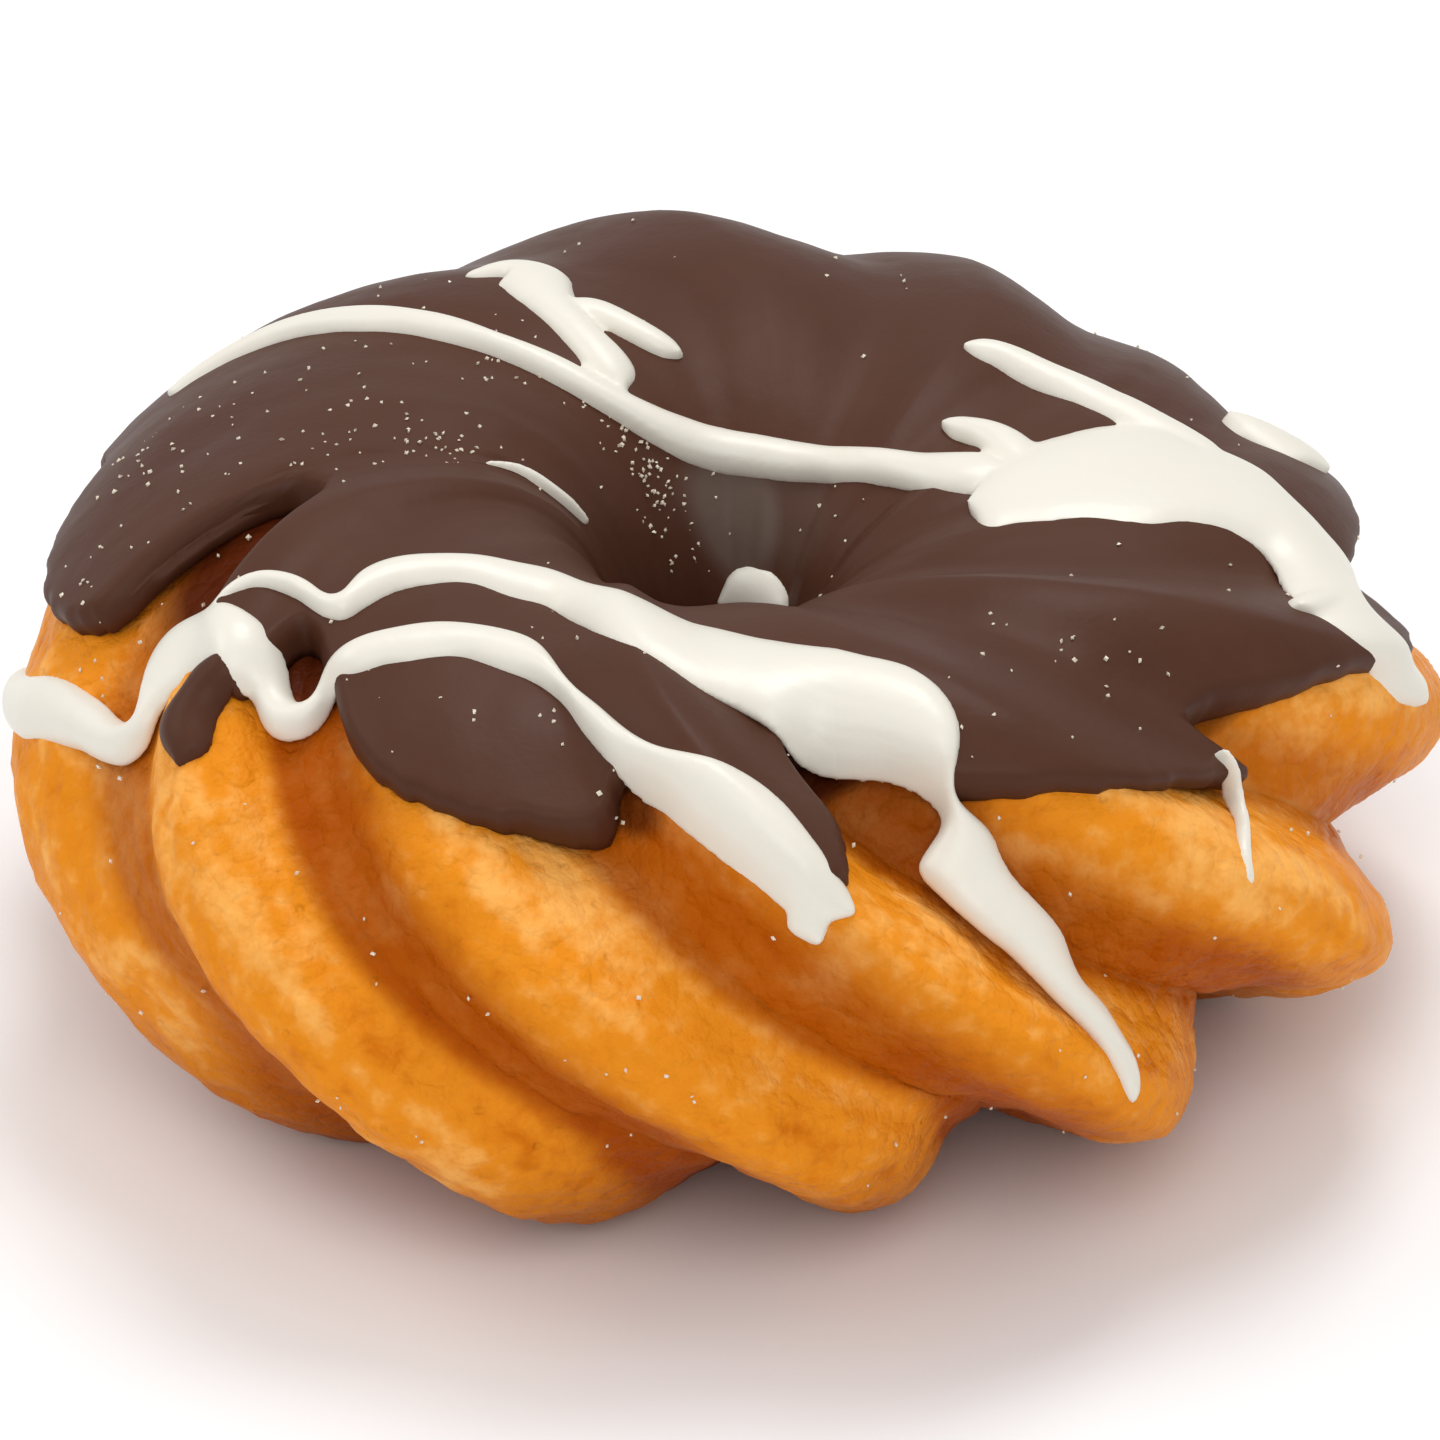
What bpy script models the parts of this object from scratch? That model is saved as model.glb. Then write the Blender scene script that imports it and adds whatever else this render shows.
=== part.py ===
"""A fluted choux ring with a chocolate glaze and piped white icing, at its real size.

The ring is a twisted strand: its star-shaped section turns as it goes round, so each flute runs out of the
hole, over the crown, down the outer side and under. Every surface is worked out in two coordinates:
lane   counts flutes round the ring; a valley lies at each whole number and a crest halfway between,
tube   is the angle round the strand in degrees: 0 faces the hole, 90 is the crown, 180 faces out, 270 is below.
Metres, +Z up, resting on z = 0, with the origin under the middle of its outline.
"""

import math

import bmesh
import bpy
from mathutils import Vector

MM = 0.001

# The ring
HOLE_CENTRE = (-1.81 * MM, -1.04 * MM)
STRAND_CENTRE_RADIUS = 25.5 * MM
HOLE_RADIUS = 7.0 * MM
OUTER_HALF_WIDTH = 23.0 * MM
TOP_HALF_HEIGHT = 18.1 * MM
BOTTOM_HALF_HEIGHT = 19.0 * MM
BASE_FLAT = 1.2 * MM

# How much fuller (or, below zero, slacker) the strand's section is than an ellipse
HOLE_FULLNESS = 0.25
OUTER_FULLNESS = -0.08
TOP_FULLNESS = 0.05
BOTTOM_FULLNESS = -0.09

# The ring is not quite round or level: (waves round the ring, azimuth of the first high spot, size)
RADIUS_WAVES = ((1, 140.0, 0.8 * MM), (2, 58.0, 1.2 * MM))
HEIGHT_WAVE = (1, 178.0, 2.8 * MM)

# The flutes
FLUTES = 11
LOBES_IN_SECTION = 4
TWIST_DEG = 360.0 * LOBES_IN_SECTION / FLUTES
TWIST_WAVES_DEG = (5.1, -2.6)
VALLEY_SHARPNESS = 1.5

# Where round the strand the flutes are uneven in spacing, lean and reach: (start, full, fading, end)
SPACING_WINDOW_DEG = (-40.0, 60.0, 186.0, 270.0)
LEAN_WINDOW_DEG = (80.0, 190.0, 218.0, 268.0)
REACH_WINDOW_DEG = (50.0, 120.0, 186.0, 270.0)
# Azimuth of each valley where it crosses the crown, counter-clockwise from +X
VALLEY_AZIMUTH_DEG = (-21.0, 12.5, 34.5, 63.0, 100.0, 139.0, 188.0, 211.0, 248.0, 271.5, 312.0)
# How much further round each valley runs by the time it faces out
VALLEY_LEAN_DEG = (5.5, 1.0, -1.5, -1.0, 0.5, -1.5, -3.0, 5.0, -2.0, 2.0, -6.0)
# How far each flute stands out of the mean ring; the first lies between the first two valleys
FLUTE_REACH = tuple(v * MM for v in (-0.3, -1.2, 0.4, 1.1, -0.9, -2.2, -0.7, -0.7, 2.6, 3.0, 2.0))
# Valley depth round the strand: (tube angle, depth)
VALLEY_DEPTH = (
    (-90.0, 2.4 * MM), (0.0, 0.3 * MM), (50.0, 1.4 * MM), (90.0, 2.7 * MM),
    (140.0, 3.6 * MM), (215.0, 5.2 * MM), (250.0, 4.9 * MM), (270.0, 2.4 * MM),
)

# The glaze: a shell over the top that stops at a wavy edge on the outer side and partway down the hole
CLEARANCE = 0.35 * MM
GLAZE_THICKNESS = 1.2 * MM
GLAZE_VALLEY_FILL = 0.35
GLAZE_LIP_DEG = 5.0
EDGE_SHARPNESS = 2.5
# Tube angle where the glaze stops: in each valley, then on the crest that follows it
EDGE_IN_VALLEY_DEG = (147.0, 146.0, 145.0, 143.0, 147.0, 145.0, 120.0, 112.0, 118.0, 115.0, 131.0)
EDGE_ON_CREST_DEG = (157.0, 156.0, 154.0, 155.0, 157.0, 149.0, 127.0, 129.0, 139.0, 139.0, 156.0)
# Where the edge runs lower than that: (lane, half width in lanes, how much lower)
DRIPS_DEG = ((6.52, 0.10, 12.0), (9.80, 0.14, 12.0), (4.60, 0.30, 5.0), (2.40, 0.30, 5.0))
HOLE_EDGE_DEG = 2.0
HOLE_EDGE_WAVES_DEG = ((3, 20.0, 5.0), (7, 60.0, 3.0))

# The icing: its height above what it lies on, and how high its underside lies there and inside the glaze
ICING_HEIGHT = 1.0 * MM
ICING_HEIGHT_TO_HALF_WIDTH = 0.8
ICING_BED = 0.12 * MM
ICING_BED_IN_GLAZE = 0.5 * MM
ICING_STEP = 2.3 * MM
ICING_SIDE_STEP = 1.7 * MM
# The piped strokes, each a row of (lane, tube angle, half width in millimetres)
UPPER_STROKE = (
    (4.90, 127, 0.6), (4.85, 119, 1.4), (4.84, 106, 1.7), (4.86, 95, 1.5), (4.89, 84, 1.3), (4.90, 73, 1.2),
    (4.84, 61, 1.4), (4.63, 51, 1.3), (4.41, 46, 1.5), (4.06, 45, 1.4), (3.63, 46, 1.5), (3.19, 49, 1.3),
    (2.75, 54, 1.5), (2.22, 60, 1.4), (1.63, 70, 2.0), (1.10, 78, 2.4),
)
HOOK_STROKE = (
    (4.42, 99, 0.5), (4.36, 94, 1.6), (4.42, 86, 1.8), (4.50, 78, 1.5), (4.56, 70, 1.6), (4.62, 62, 1.3),
    (4.70, 55, 1.1),
)
HOOK_ARM = ((4.50, 76, 0.9), (4.33, 77, 1.4), (4.25, 71, 1.5), (4.18, 67, 1.4), (4.09, 63, 0.9))
RIGHT_STROKE = (
    (2.56, 87, 0.6), (2.34, 91, 1.0), (2.02, 96, 1.1), (1.70, 99, 1.5), (1.35, 103, 2.0), (1.0, 106, 2.2),
)
RIGHT_PRONG = ((2.30, 69, 0.6), (2.13, 74, 0.9), (1.75, 77, 1.6), (1.40, 80, 1.8))
RIGHT_POOL = (
    (1.35, 66, 1.4), (1.22, 75, 4.4), (1.12, 83, 5.0), (0.96, 95, 5.2), (0.80, 105, 5.4), (0.64, 111, 5.0),
    (0.50, 117, 4.2), (0.36, 122, 3.4), (0.23, 127, 2.9), (0.02, 133, 2.9), (-0.20, 138, 3.2), (-0.35, 144, 3.3),
    (-0.46, 150, 2.9), (-0.55, 155, 2.3), (-0.60, 160, 1.5),
)
POOL_LOBE = ((-0.02, 134, 1.4), (-0.36, 129, 0.9))
BACK_PATCH = ((0.99, 124, 0.6), (0.82, 125, 1.6), (0.68, 130, 2.6), (0.59, 135, 2.4), (0.52, 139, 1.0))
HOLE_STROKE = ((6.43, 57, 0.5), (6.38, 51, 1.1), (6.44, 46, 1.2), (6.48, 40, 0.9), (6.42, 34, 0.6))
HOLE_DROP = ((3.98, 19, 0.6), (3.72, 21, 1.2), (3.42, 22, 1.2), (3.14, 22, 0.6))
FRONT_STROKE = (
    (6.50, 121, 1.3), (6.58, 111, 0.9), (6.72, 104, 0.9), (6.86, 101, 0.8), (7.04, 99, 1.0), (7.14, 94, 1.3),
    (7.21, 87, 1.9), (7.36, 81, 1.9), (7.56, 75, 1.9), (7.82, 70, 2.1), (8.15, 70, 2.3), (8.45, 74, 2.7),
    (8.72, 80, 3.4), (8.95, 87, 4.1), (9.12, 93, 4.3), (9.24, 99, 4.4), (9.31, 106, 4.3), (9.30, 114, 3.2),
    (9.25, 122, 1.9), (9.17, 128, 0.8), (9.10, 133, 1.6), (8.99, 138, 2.7), (8.94, 145, 2.5), (8.91, 153, 2.3),
    (8.86, 159, 2.0), (8.80, 164, 1.3), (8.74, 171, 1.2), (8.69, 177, 1.0), (8.62, 182, 0.7), (8.57, 186, 0.6),
)
LEFT_STROKE = (
    (5.59, 159, 2.0), (5.77, 150, 2.3), (5.93, 146, 2.0), (6.12, 143, 1.5), (6.26, 140, 1.0), (6.34, 133, 1.0),
    (6.39, 126, 1.7), (6.49, 121, 2.3), (6.62, 117, 2.4), (6.76, 116, 1.9), (6.87, 118, 1.1), (6.96, 121, 0.8),
    (7.05, 121, 0.8), (7.13, 118, 0.8), (7.18, 113, 0.8), (7.23, 108, 1.0), (7.32, 103, 1.5), (7.47, 98, 1.9),
    (7.68, 92, 2.0), (7.86, 91, 1.9), (7.99, 95, 1.3), (8.09, 102, 0.9), (8.16, 109, 0.8), (8.22, 114, 1.0),
    (8.30, 118, 1.5), (8.38, 123, 2.3), (8.44, 129, 2.6), (8.44, 136, 2.3), (8.41, 142, 2.1), (8.36, 146, 1.4),
    (8.31, 149, 0.7),
)
THIN_STROKE = ((9.93, 137, 0.7), (9.79, 143, 0.7), (9.66, 148, 0.6), (9.55, 153, 0.6), (9.45, 157, 0.5))
STROKES = (
    UPPER_STROKE, HOOK_STROKE, HOOK_ARM, RIGHT_STROKE, RIGHT_PRONG, RIGHT_POOL, POOL_LOBE, BACK_PATCH,
    HOLE_STROKE, HOLE_DROP, FRONT_STROKE, LEFT_STROKE, THIN_STROKE,
)

# Mesh
COLUMNS_PER_FLUTE = 8
RING_ROWS = 26
GLAZE_TOP_ROWS = 12
GLAZE_UNDER_ROWS = 10
LIP_ROW_SHARE = 0.3
FEWEST_SIDE_STEPS = 4
PROBE_LANES = 0.02
PROBE_DEG = 1.0

# Looks
PASTRY_COLOUR = (0.72, 0.33, 0.06)
PASTRY_ROUGHNESS = 0.5
CHOCOLATE_COLOUR = (0.075, 0.035, 0.022)
CHOCOLATE_ROUGHNESS = 0.3


def smooth(t):
    """Eases 0..1 in and out."""
    t = min(1.0, max(0.0, t))
    return t * t * (3.0 - 2.0 * t)


def keyed(keys, x):
    """Value at x between (x, value) keys, eased from one to the next."""
    if x <= keys[0][0]:
        return keys[0][1]
    for (x0, v0), (x1, v1) in zip(keys, keys[1:]):
        if x <= x1:
            return v0 + (v1 - v0) * smooth((x - x0) / (x1 - x0))
    return keys[-1][1]


def window(tube, limits):
    """0 outside, 1 in the middle of (start, full, fading, end), eased between."""
    start, full, fading, end = limits
    return smooth((tube - start) / (full - start)) * smooth((end - tube) / (end - fading))


def waves(azimuth_deg, *sizes):
    """Sum of waves round the ring, each (count, azimuth of its first high spot, size)."""
    return sum(size * math.cos(math.radians(count * (azimuth_deg - high))) for count, high, size in sizes)


def between_valleys(values, lane, whole_turn=0.0):
    """Value at a lane, from one value a valley; whole_turn is what a turn of the ring adds."""
    turns, within = divmod(lane, FLUTES)
    first = int(within)
    after = values[first + 1] if first + 1 < FLUTES else values[0] + whole_turn
    return values[first] + (after - values[first]) * (within - first) + whole_turn * turns


def lane_azimuth(lane, tube):
    """Azimuth of a lane at a tube angle, in degrees."""
    even = VALLEY_AZIMUTH_DEG[0] + 360.0 * lane / FLUTES
    uneven = between_valleys(VALLEY_AZIMUTH_DEG, lane, 360.0) - even
    lean = between_valleys(VALLEY_LEAN_DEG, lane) * window(tube, LEAN_WINDOW_DEG)
    past_crown = math.radians(tube - 90.0)
    twist = TWIST_DEG * (tube - 90.0) / 360.0
    twist += sum(size * math.sin((i + 1) * past_crown) for i, size in enumerate(TWIST_WAVES_DEG))
    return even + uneven * window(tube, SPACING_WINDOW_DEG) + lean + twist


def valley_share(lane):
    """0 on a crest, 1 in a valley."""
    return (2.0 * abs(lane - math.floor(lane) - 0.5)) ** VALLEY_SHARPNESS


def ring_point(lane, tube, fill=0.0, lift=0.0):
    """A point of the ring; fill is the share of the valley's depth filled in, lift the height above that."""
    azimuth = lane_azimuth(lane, tube)
    share = valley_share(lane)
    reach = FLUTE_REACH[int(lane % FLUTES)] * (1.0 - share) * window(tube, REACH_WINDOW_DEG)
    out = lift + reach - keyed(VALLEY_DEPTH, tube) * (1.0 - fill) * share
    across = math.cos(math.radians(tube))
    up = math.sin(math.radians(tube))
    half_width, fullness = (STRAND_CENTRE_RADIUS - HOLE_RADIUS, HOLE_FULLNESS)
    if across < 0.0:
        half_width, fullness = (OUTER_HALF_WIDTH, OUTER_FULLNESS)
    wave = waves(azimuth, *RADIUS_WAVES) * (1.0 - max(0.0, across))
    radial = STRAND_CENTRE_RADIUS + wave - (half_width + out) * across * (1.0 + fullness * up * up)
    half_height, fullness = (TOP_HALF_HEIGHT, TOP_FULLNESS)
    if up < 0.0:
        half_height, fullness = (BOTTOM_HALF_HEIGHT, BOTTOM_FULLNESS)
    tilt = 0.5 * waves(azimuth, HEIGHT_WAVE)
    height = BOTTOM_HALF_HEIGHT - BASE_FLAT + tilt
    height += (half_height + tilt + out) * up * (1.0 + fullness * across * across)
    azimuth = math.radians(azimuth)
    x = HOLE_CENTRE[0] + radial * math.cos(azimuth)
    y = HOLE_CENTRE[1] + radial * math.sin(azimuth)
    return Vector((x, y, max(0.0, height)))


def new_object(name, bm, material):
    mesh = bpy.data.meshes.new(name)
    bmesh.ops.recalc_face_normals(bm, faces=bm.faces)
    bm.to_mesh(mesh)
    bm.free()
    mesh.materials.append(material)
    mesh.shade_smooth()
    obj = bpy.data.objects.new(name, mesh)
    bpy.context.scene.collection.objects.link(obj)
    return obj


def food_material(name, colour, roughness):
    material = bpy.data.materials.new(name)
    material.use_nodes = True
    shader = material.node_tree.nodes["Principled BSDF"]
    shader.inputs["Base Color"].default_value = (*colour, 1.0)
    shader.inputs["Roughness"].default_value = roughness
    return material


def glaze_edges(lane):
    """Tube angles where the glaze starts in the hole and where it stops on the outer side."""
    here = int(lane % FLUTES)
    after = (here + 1) % FLUTES
    across = 2.0 * (lane - math.floor(lane)) - 1.0
    valley = EDGE_IN_VALLEY_DEG[here] if across < 0.0 else EDGE_IN_VALLEY_DEG[after]
    outer = EDGE_ON_CREST_DEG[here] + (valley - EDGE_ON_CREST_DEG[here]) * abs(across) ** EDGE_SHARPNESS
    for centre, half_width, lower in DRIPS_DEG:
        away = abs((lane - centre + 0.5 * FLUTES) % FLUTES - 0.5 * FLUTES)
        outer += lower * smooth(1.0 - away / half_width)
    return HOLE_EDGE_DEG + waves(360.0 * lane / FLUTES, *HOLE_EDGE_WAVES_DEG), outer


def glaze_share(lane, tube):
    """Share of the full glaze thickness at a point: 1 well inside, rounded down to 0 at the edges."""
    inner, outer = glaze_edges(lane)
    inside = min(tube - inner, outer - tube) / GLAZE_LIP_DEG
    return math.sqrt(1.0 - (1.0 - min(1.0, inside)) ** 2) if inside > 0.0 else 0.0


def glaze_top(lane, tube, above=0.0):
    """A point of the glaze's top, or of the pastry's skin plus the clearance where there is no glaze."""
    share = glaze_share(lane, tube)
    return ring_point(lane, tube, GLAZE_VALLEY_FILL * share, CLEARANCE + GLAZE_THICKNESS * share + above)


def glaze_section(lane):
    """The glaze cut along one column: over the top from the hole to the outer edge, then back underneath."""
    inner, outer = glaze_edges(lane)
    lip = (0.0, LIP_ROW_SHARE * GLAZE_LIP_DEG)
    span = outer - inner - 2.0 * GLAZE_LIP_DEG
    middle = [inner + GLAZE_LIP_DEG + span * i / GLAZE_TOP_ROWS for i in range(GLAZE_TOP_ROWS + 1)]
    over = [inner + d for d in lip] + middle + [outer - d for d in reversed(lip)]
    under = [outer - (outer - inner) * i / GLAZE_UNDER_ROWS for i in range(1, GLAZE_UNDER_ROWS)]
    underside = [ring_point(lane, tube, 0.0, CLEARANCE) for tube in under]
    return [glaze_top(lane, tube) for tube in over] + underside


def bridge(bm, loops, closed):
    """Joins rows of corners, each row a closed loop, into a tube; closed joins the last row to the first."""
    rows = [[bm.verts.new(point) for point in loop] for loop in loops]
    count = len(rows[0])
    for row, after in zip(rows, rows[1:] + rows[:1] if closed else rows[1:]):
        for i in range(count):
            j = (i + 1) % count
            bm.faces.new((row[i], row[j], after[j], after[i]))
    if not closed:
        bm.faces.new(rows[0])
        bm.faces.new(rows[-1])


def curve_between(before, start, end, after, t):
    """Point at t of a smooth curve from start to end."""
    point = []
    for a, b, c, d in zip(before, start, end, after):
        bend = 2.0 * a - 5.0 * b + 4.0 * c - d
        sway = 3.0 * (b - c) + d - a
        point.append(b + 0.5 * ((c - a) * t + bend * t**2 + sway * t**3))
    return tuple(point)


def stroke_stations(stroke):
    """Points along a stroke about one step apart."""
    stations = []
    for i, (start, end) in enumerate(zip(stroke, stroke[1:])):
        before = stroke[max(0, i - 1)]
        after = stroke[min(len(stroke) - 1, i + 2)]
        length = (ring_point(*start[:2], 1.0) - ring_point(*end[:2], 1.0)).length
        steps = max(1, round(length / ICING_STEP))
        stations += [curve_between(before, start, end, after, k / steps) for k in range(steps)]
    return stations + [stroke[-1]]


def sideways(lane, tube, ahead):
    """Change of lane and tube angle for a metre to the left of the way ahead, along the skin."""
    along_lane = ring_point(lane + PROBE_LANES, tube, 1.0) - ring_point(lane - PROBE_LANES, tube, 1.0)
    along_lane /= 2.0 * PROBE_LANES
    along_tube = ring_point(lane, tube + PROBE_DEG, 1.0) - ring_point(lane, tube - PROBE_DEG, 1.0)
    along_tube /= 2.0 * PROBE_DEG
    forward = along_lane * ahead[0] + along_tube * ahead[1]
    side = along_lane.cross(along_tube).normalized().cross(forward).normalized()
    lane_lane, lane_tube = along_lane.dot(along_lane), along_lane.dot(along_tube)
    tube_tube = along_tube.dot(along_tube)
    side_lane, side_tube = side.dot(along_lane), side.dot(along_tube)
    size = lane_lane * tube_tube - lane_tube * lane_tube
    lanes = (side_lane * tube_tube - side_tube * lane_tube) / size
    degrees = (side_tube * lane_lane - side_lane * lane_tube) / size
    return lanes, degrees


def icing_section(station, side, steps):
    """One slice across a stroke: a dome over a bed that lies inside the glaze or just clear of the skin."""
    lane, tube, half_width = station[0], station[1], station[2] * MM
    rise = min(ICING_HEIGHT, ICING_HEIGHT_TO_HALF_WIDTH * half_width)
    over, under = [], []
    for i in range(steps + 1):
        share = -math.cos(math.pi * i / steps)
        here = (lane + side[0] * half_width * share, tube + side[1] * half_width * share)
        lift = ICING_BED + (ICING_BED_IN_GLAZE - ICING_BED) * glaze_share(*here)
        bed = ring_point(*here, 0.0, CLEARANCE + lift)
        dome = math.sqrt(max(0.0, 1.0 - share * share))
        over.append(bed + (glaze_top(*here, rise) - bed) * dome)
        if 0 < i < steps:
            under.append(bed)
    return over + under[::-1]


def make_stroke(stroke, material):
    stations = stroke_stations(stroke)
    widest = max(station[2] for station in stations) * MM
    steps = max(FEWEST_SIDE_STEPS, math.ceil(2.0 * widest / ICING_SIDE_STEP))
    loops = []
    for i, station in enumerate(stations):
        before, after = stations[max(0, i - 1)], stations[min(len(stations) - 1, i + 1)]
        ahead = (after[0] - before[0], after[1] - before[1])
        loops.append(icing_section(station, sideways(station[0], station[1], ahead), steps))
    bm = bmesh.new()
    bridge(bm, loops, False)
    return new_object("icing_stroke", bm, material)


def make_pastry(material):
    """The ring, in columns along the flutes; a turn of the strand joins each to a column further round."""
    bm = bmesh.new()
    columns = FLUTES * COLUMNS_PER_FLUTE
    rows = []
    for row in range(RING_ROWS):
        tube = -90.0 + 360.0 * row / RING_ROWS
        rows.append([bm.verts.new(ring_point(i / COLUMNS_PER_FLUTE, tube)) for i in range(columns)])
    for row in range(RING_ROWS):
        last = row == RING_ROWS - 1
        shift = -LOBES_IN_SECTION * COLUMNS_PER_FLUTE if last else 0
        above = rows[0] if last else rows[row + 1]
        for column in range(columns):
            after = (column + 1) % columns
            corners = (rows[row][column], rows[row][after])
            bm.faces.new(corners + (above[(after - shift) % columns], above[(column - shift) % columns]))
    return new_object("pastry_ring", bm, material)


def make_glaze(material):
    """The glaze with the icing fused to it."""
    columns = FLUTES * COLUMNS_PER_FLUTE
    bm = bmesh.new()
    bridge(bm, [glaze_section(column / COLUMNS_PER_FLUTE) for column in range(columns)], True)
    glaze = new_object("chocolate_glaze", bm, material)
    icing = bpy.data.collections.new("icing")
    bpy.context.scene.collection.children.link(icing)
    for stroke in STROKES:
        obj = make_stroke(stroke, material)
        bpy.context.scene.collection.objects.unlink(obj)
        icing.objects.link(obj)
    join = glaze.modifiers.new("join", "BOOLEAN")
    join.operation = "UNION"
    join.operand_type = "COLLECTION"
    join.collection = icing
    join.solver = "EXACT"
    with bpy.context.temp_override(object=glaze):
        bpy.ops.object.modifier_apply(modifier=join.name)
    for obj in list(icing.objects):
        bpy.data.objects.remove(obj)
    bpy.data.collections.remove(icing)
    return glaze


def main():
    for obj in list(bpy.data.objects):
        bpy.data.objects.remove(obj)
    make_pastry(food_material("fried_choux", PASTRY_COLOUR, PASTRY_ROUGHNESS))
    make_glaze(food_material("chocolate", CHOCOLATE_COLOUR, CHOCOLATE_ROUGHNESS))


main()
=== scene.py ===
"""The looks of a twisted choux ring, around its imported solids: choux, chocolate, icing and sugar.

Like the solids, every surface is worked out in two coordinates:
lane   counts flutes round the ring; a valley lies at each whole number, a crest halfway between,
tube   is the angle round the strand in degrees: 0 faces the hole, 90 is the crown, 180 faces out
       and 270 is below.
Arrays of lanes and tube angles go through the same formulas together.
"""

import functools
import itertools
import math

import bpy
import numpy as np
from bpy.props import FloatProperty, FloatVectorProperty, IntProperty, PointerProperty
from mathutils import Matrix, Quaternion, Vector
from mathutils.kdtree import KDTree


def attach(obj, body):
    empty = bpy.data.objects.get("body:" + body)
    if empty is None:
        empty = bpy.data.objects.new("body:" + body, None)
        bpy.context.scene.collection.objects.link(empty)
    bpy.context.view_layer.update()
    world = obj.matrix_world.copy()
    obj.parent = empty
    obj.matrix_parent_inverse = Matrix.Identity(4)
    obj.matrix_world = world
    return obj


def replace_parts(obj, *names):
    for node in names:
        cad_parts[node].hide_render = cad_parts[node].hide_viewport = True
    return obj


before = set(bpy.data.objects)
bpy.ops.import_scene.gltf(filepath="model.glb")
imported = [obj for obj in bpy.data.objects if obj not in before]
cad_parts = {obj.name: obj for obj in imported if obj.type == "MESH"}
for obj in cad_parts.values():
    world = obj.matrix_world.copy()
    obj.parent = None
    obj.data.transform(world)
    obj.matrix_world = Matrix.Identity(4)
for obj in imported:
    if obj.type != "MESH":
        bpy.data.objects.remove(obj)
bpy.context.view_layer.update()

bl_info = {
    "name": "Glazed choux ring",
    "version": (1, 0, 0),
    "blender": (4, 5, 0),
    "location": "View3D > Sidebar > Choux ring",
    "description": "Dresses the ring's solids with fried choux, chocolate, white icing and sugar",
    "category": "Object",
}

MM = 0.001
BODY = "root"

# ------------------------------------------------ the ring's form, as in its solids

HOLE_CENTRE = (-1.81 * MM, -1.04 * MM)
STRAND_CENTRE_RADIUS = 25.5 * MM
HOLE_RADIUS = 7.0 * MM
OUTER_HALF_WIDTH = 23.0 * MM
TOP_HALF_HEIGHT = 18.1 * MM
BOTTOM_HALF_HEIGHT = 19.0 * MM
BASE_FLAT = 1.2 * MM

HOLE_FULLNESS = 0.25
OUTER_FULLNESS = -0.08
TOP_FULLNESS = 0.05
BOTTOM_FULLNESS = -0.09

# (waves round the ring, azimuth of the first high spot, size)
RADIUS_WAVES = ((1, 140.0, 0.8 * MM), (2, 58.0, 1.2 * MM))
HEIGHT_WAVE = (1, 178.0, 2.8 * MM)

FLUTES = 11
LOBES_IN_SECTION = 4
TWIST_DEG = 360.0 * LOBES_IN_SECTION / FLUTES
TWIST_WAVES_DEG = (5.1, -2.6)
VALLEY_SHARPNESS = 1.5
# Where round the strand the flutes are uneven in spacing, lean and reach:
# (start, full, fading, end)
SPACING_WINDOW_DEG = (-40.0, 60.0, 186.0, 270.0)
LEAN_WINDOW_DEG = (80.0, 190.0, 218.0, 268.0)
REACH_WINDOW_DEG = (50.0, 120.0, 186.0, 270.0)
VALLEY_AZIMUTH_DEG = (-21.0, 12.5, 34.5, 63.0, 100.0, 139.0, 188.0, 211.0, 248.0, 271.5, 312.0)
VALLEY_LEAN_DEG = (5.5, 1.0, -1.5, -1.0, 0.5, -1.5, -3.0, 5.0, -2.0, 2.0, -6.0)
FLUTE_REACH = np.array((-0.3, -1.2, 0.4, 1.1, -0.9, -2.2, -0.7, -0.7, 2.6, 3.0, 2.0)) * MM
# How fast the step in reach between two flutes is eased as the valley between them softens
EASE_WITH_SOFTNESS = 8.0
# (tube angle, depth)
VALLEY_DEPTH = (
    (-90.0, 2.4 * MM), (0.0, 0.3 * MM), (50.0, 1.4 * MM), (90.0, 2.7 * MM),
    (140.0, 3.6 * MM), (215.0, 5.2 * MM), (250.0, 4.9 * MM), (270.0, 2.4 * MM),
)

CLEARANCE = 0.35 * MM
GLAZE_THICKNESS = 1.2 * MM
GLAZE_VALLEY_FILL = 0.35
# (tube angle, how far the chocolate rounds off the bottom of a valley)
CREASE_SOFTNESS = (
    (0.0, 1.2), (40.0, 1.0), (75.0, 0.75), (105.0, 0.65), (120.0, 0.45), (150.0, 0.35),
)
HOLE_EDGE_DEG = 2.0
HOLE_EDGE_WAVES_DEG = ((3, 20.0, 5.0), (7, 60.0, 3.0))

# ------------------------------------------------ what the scene adds to it

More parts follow.
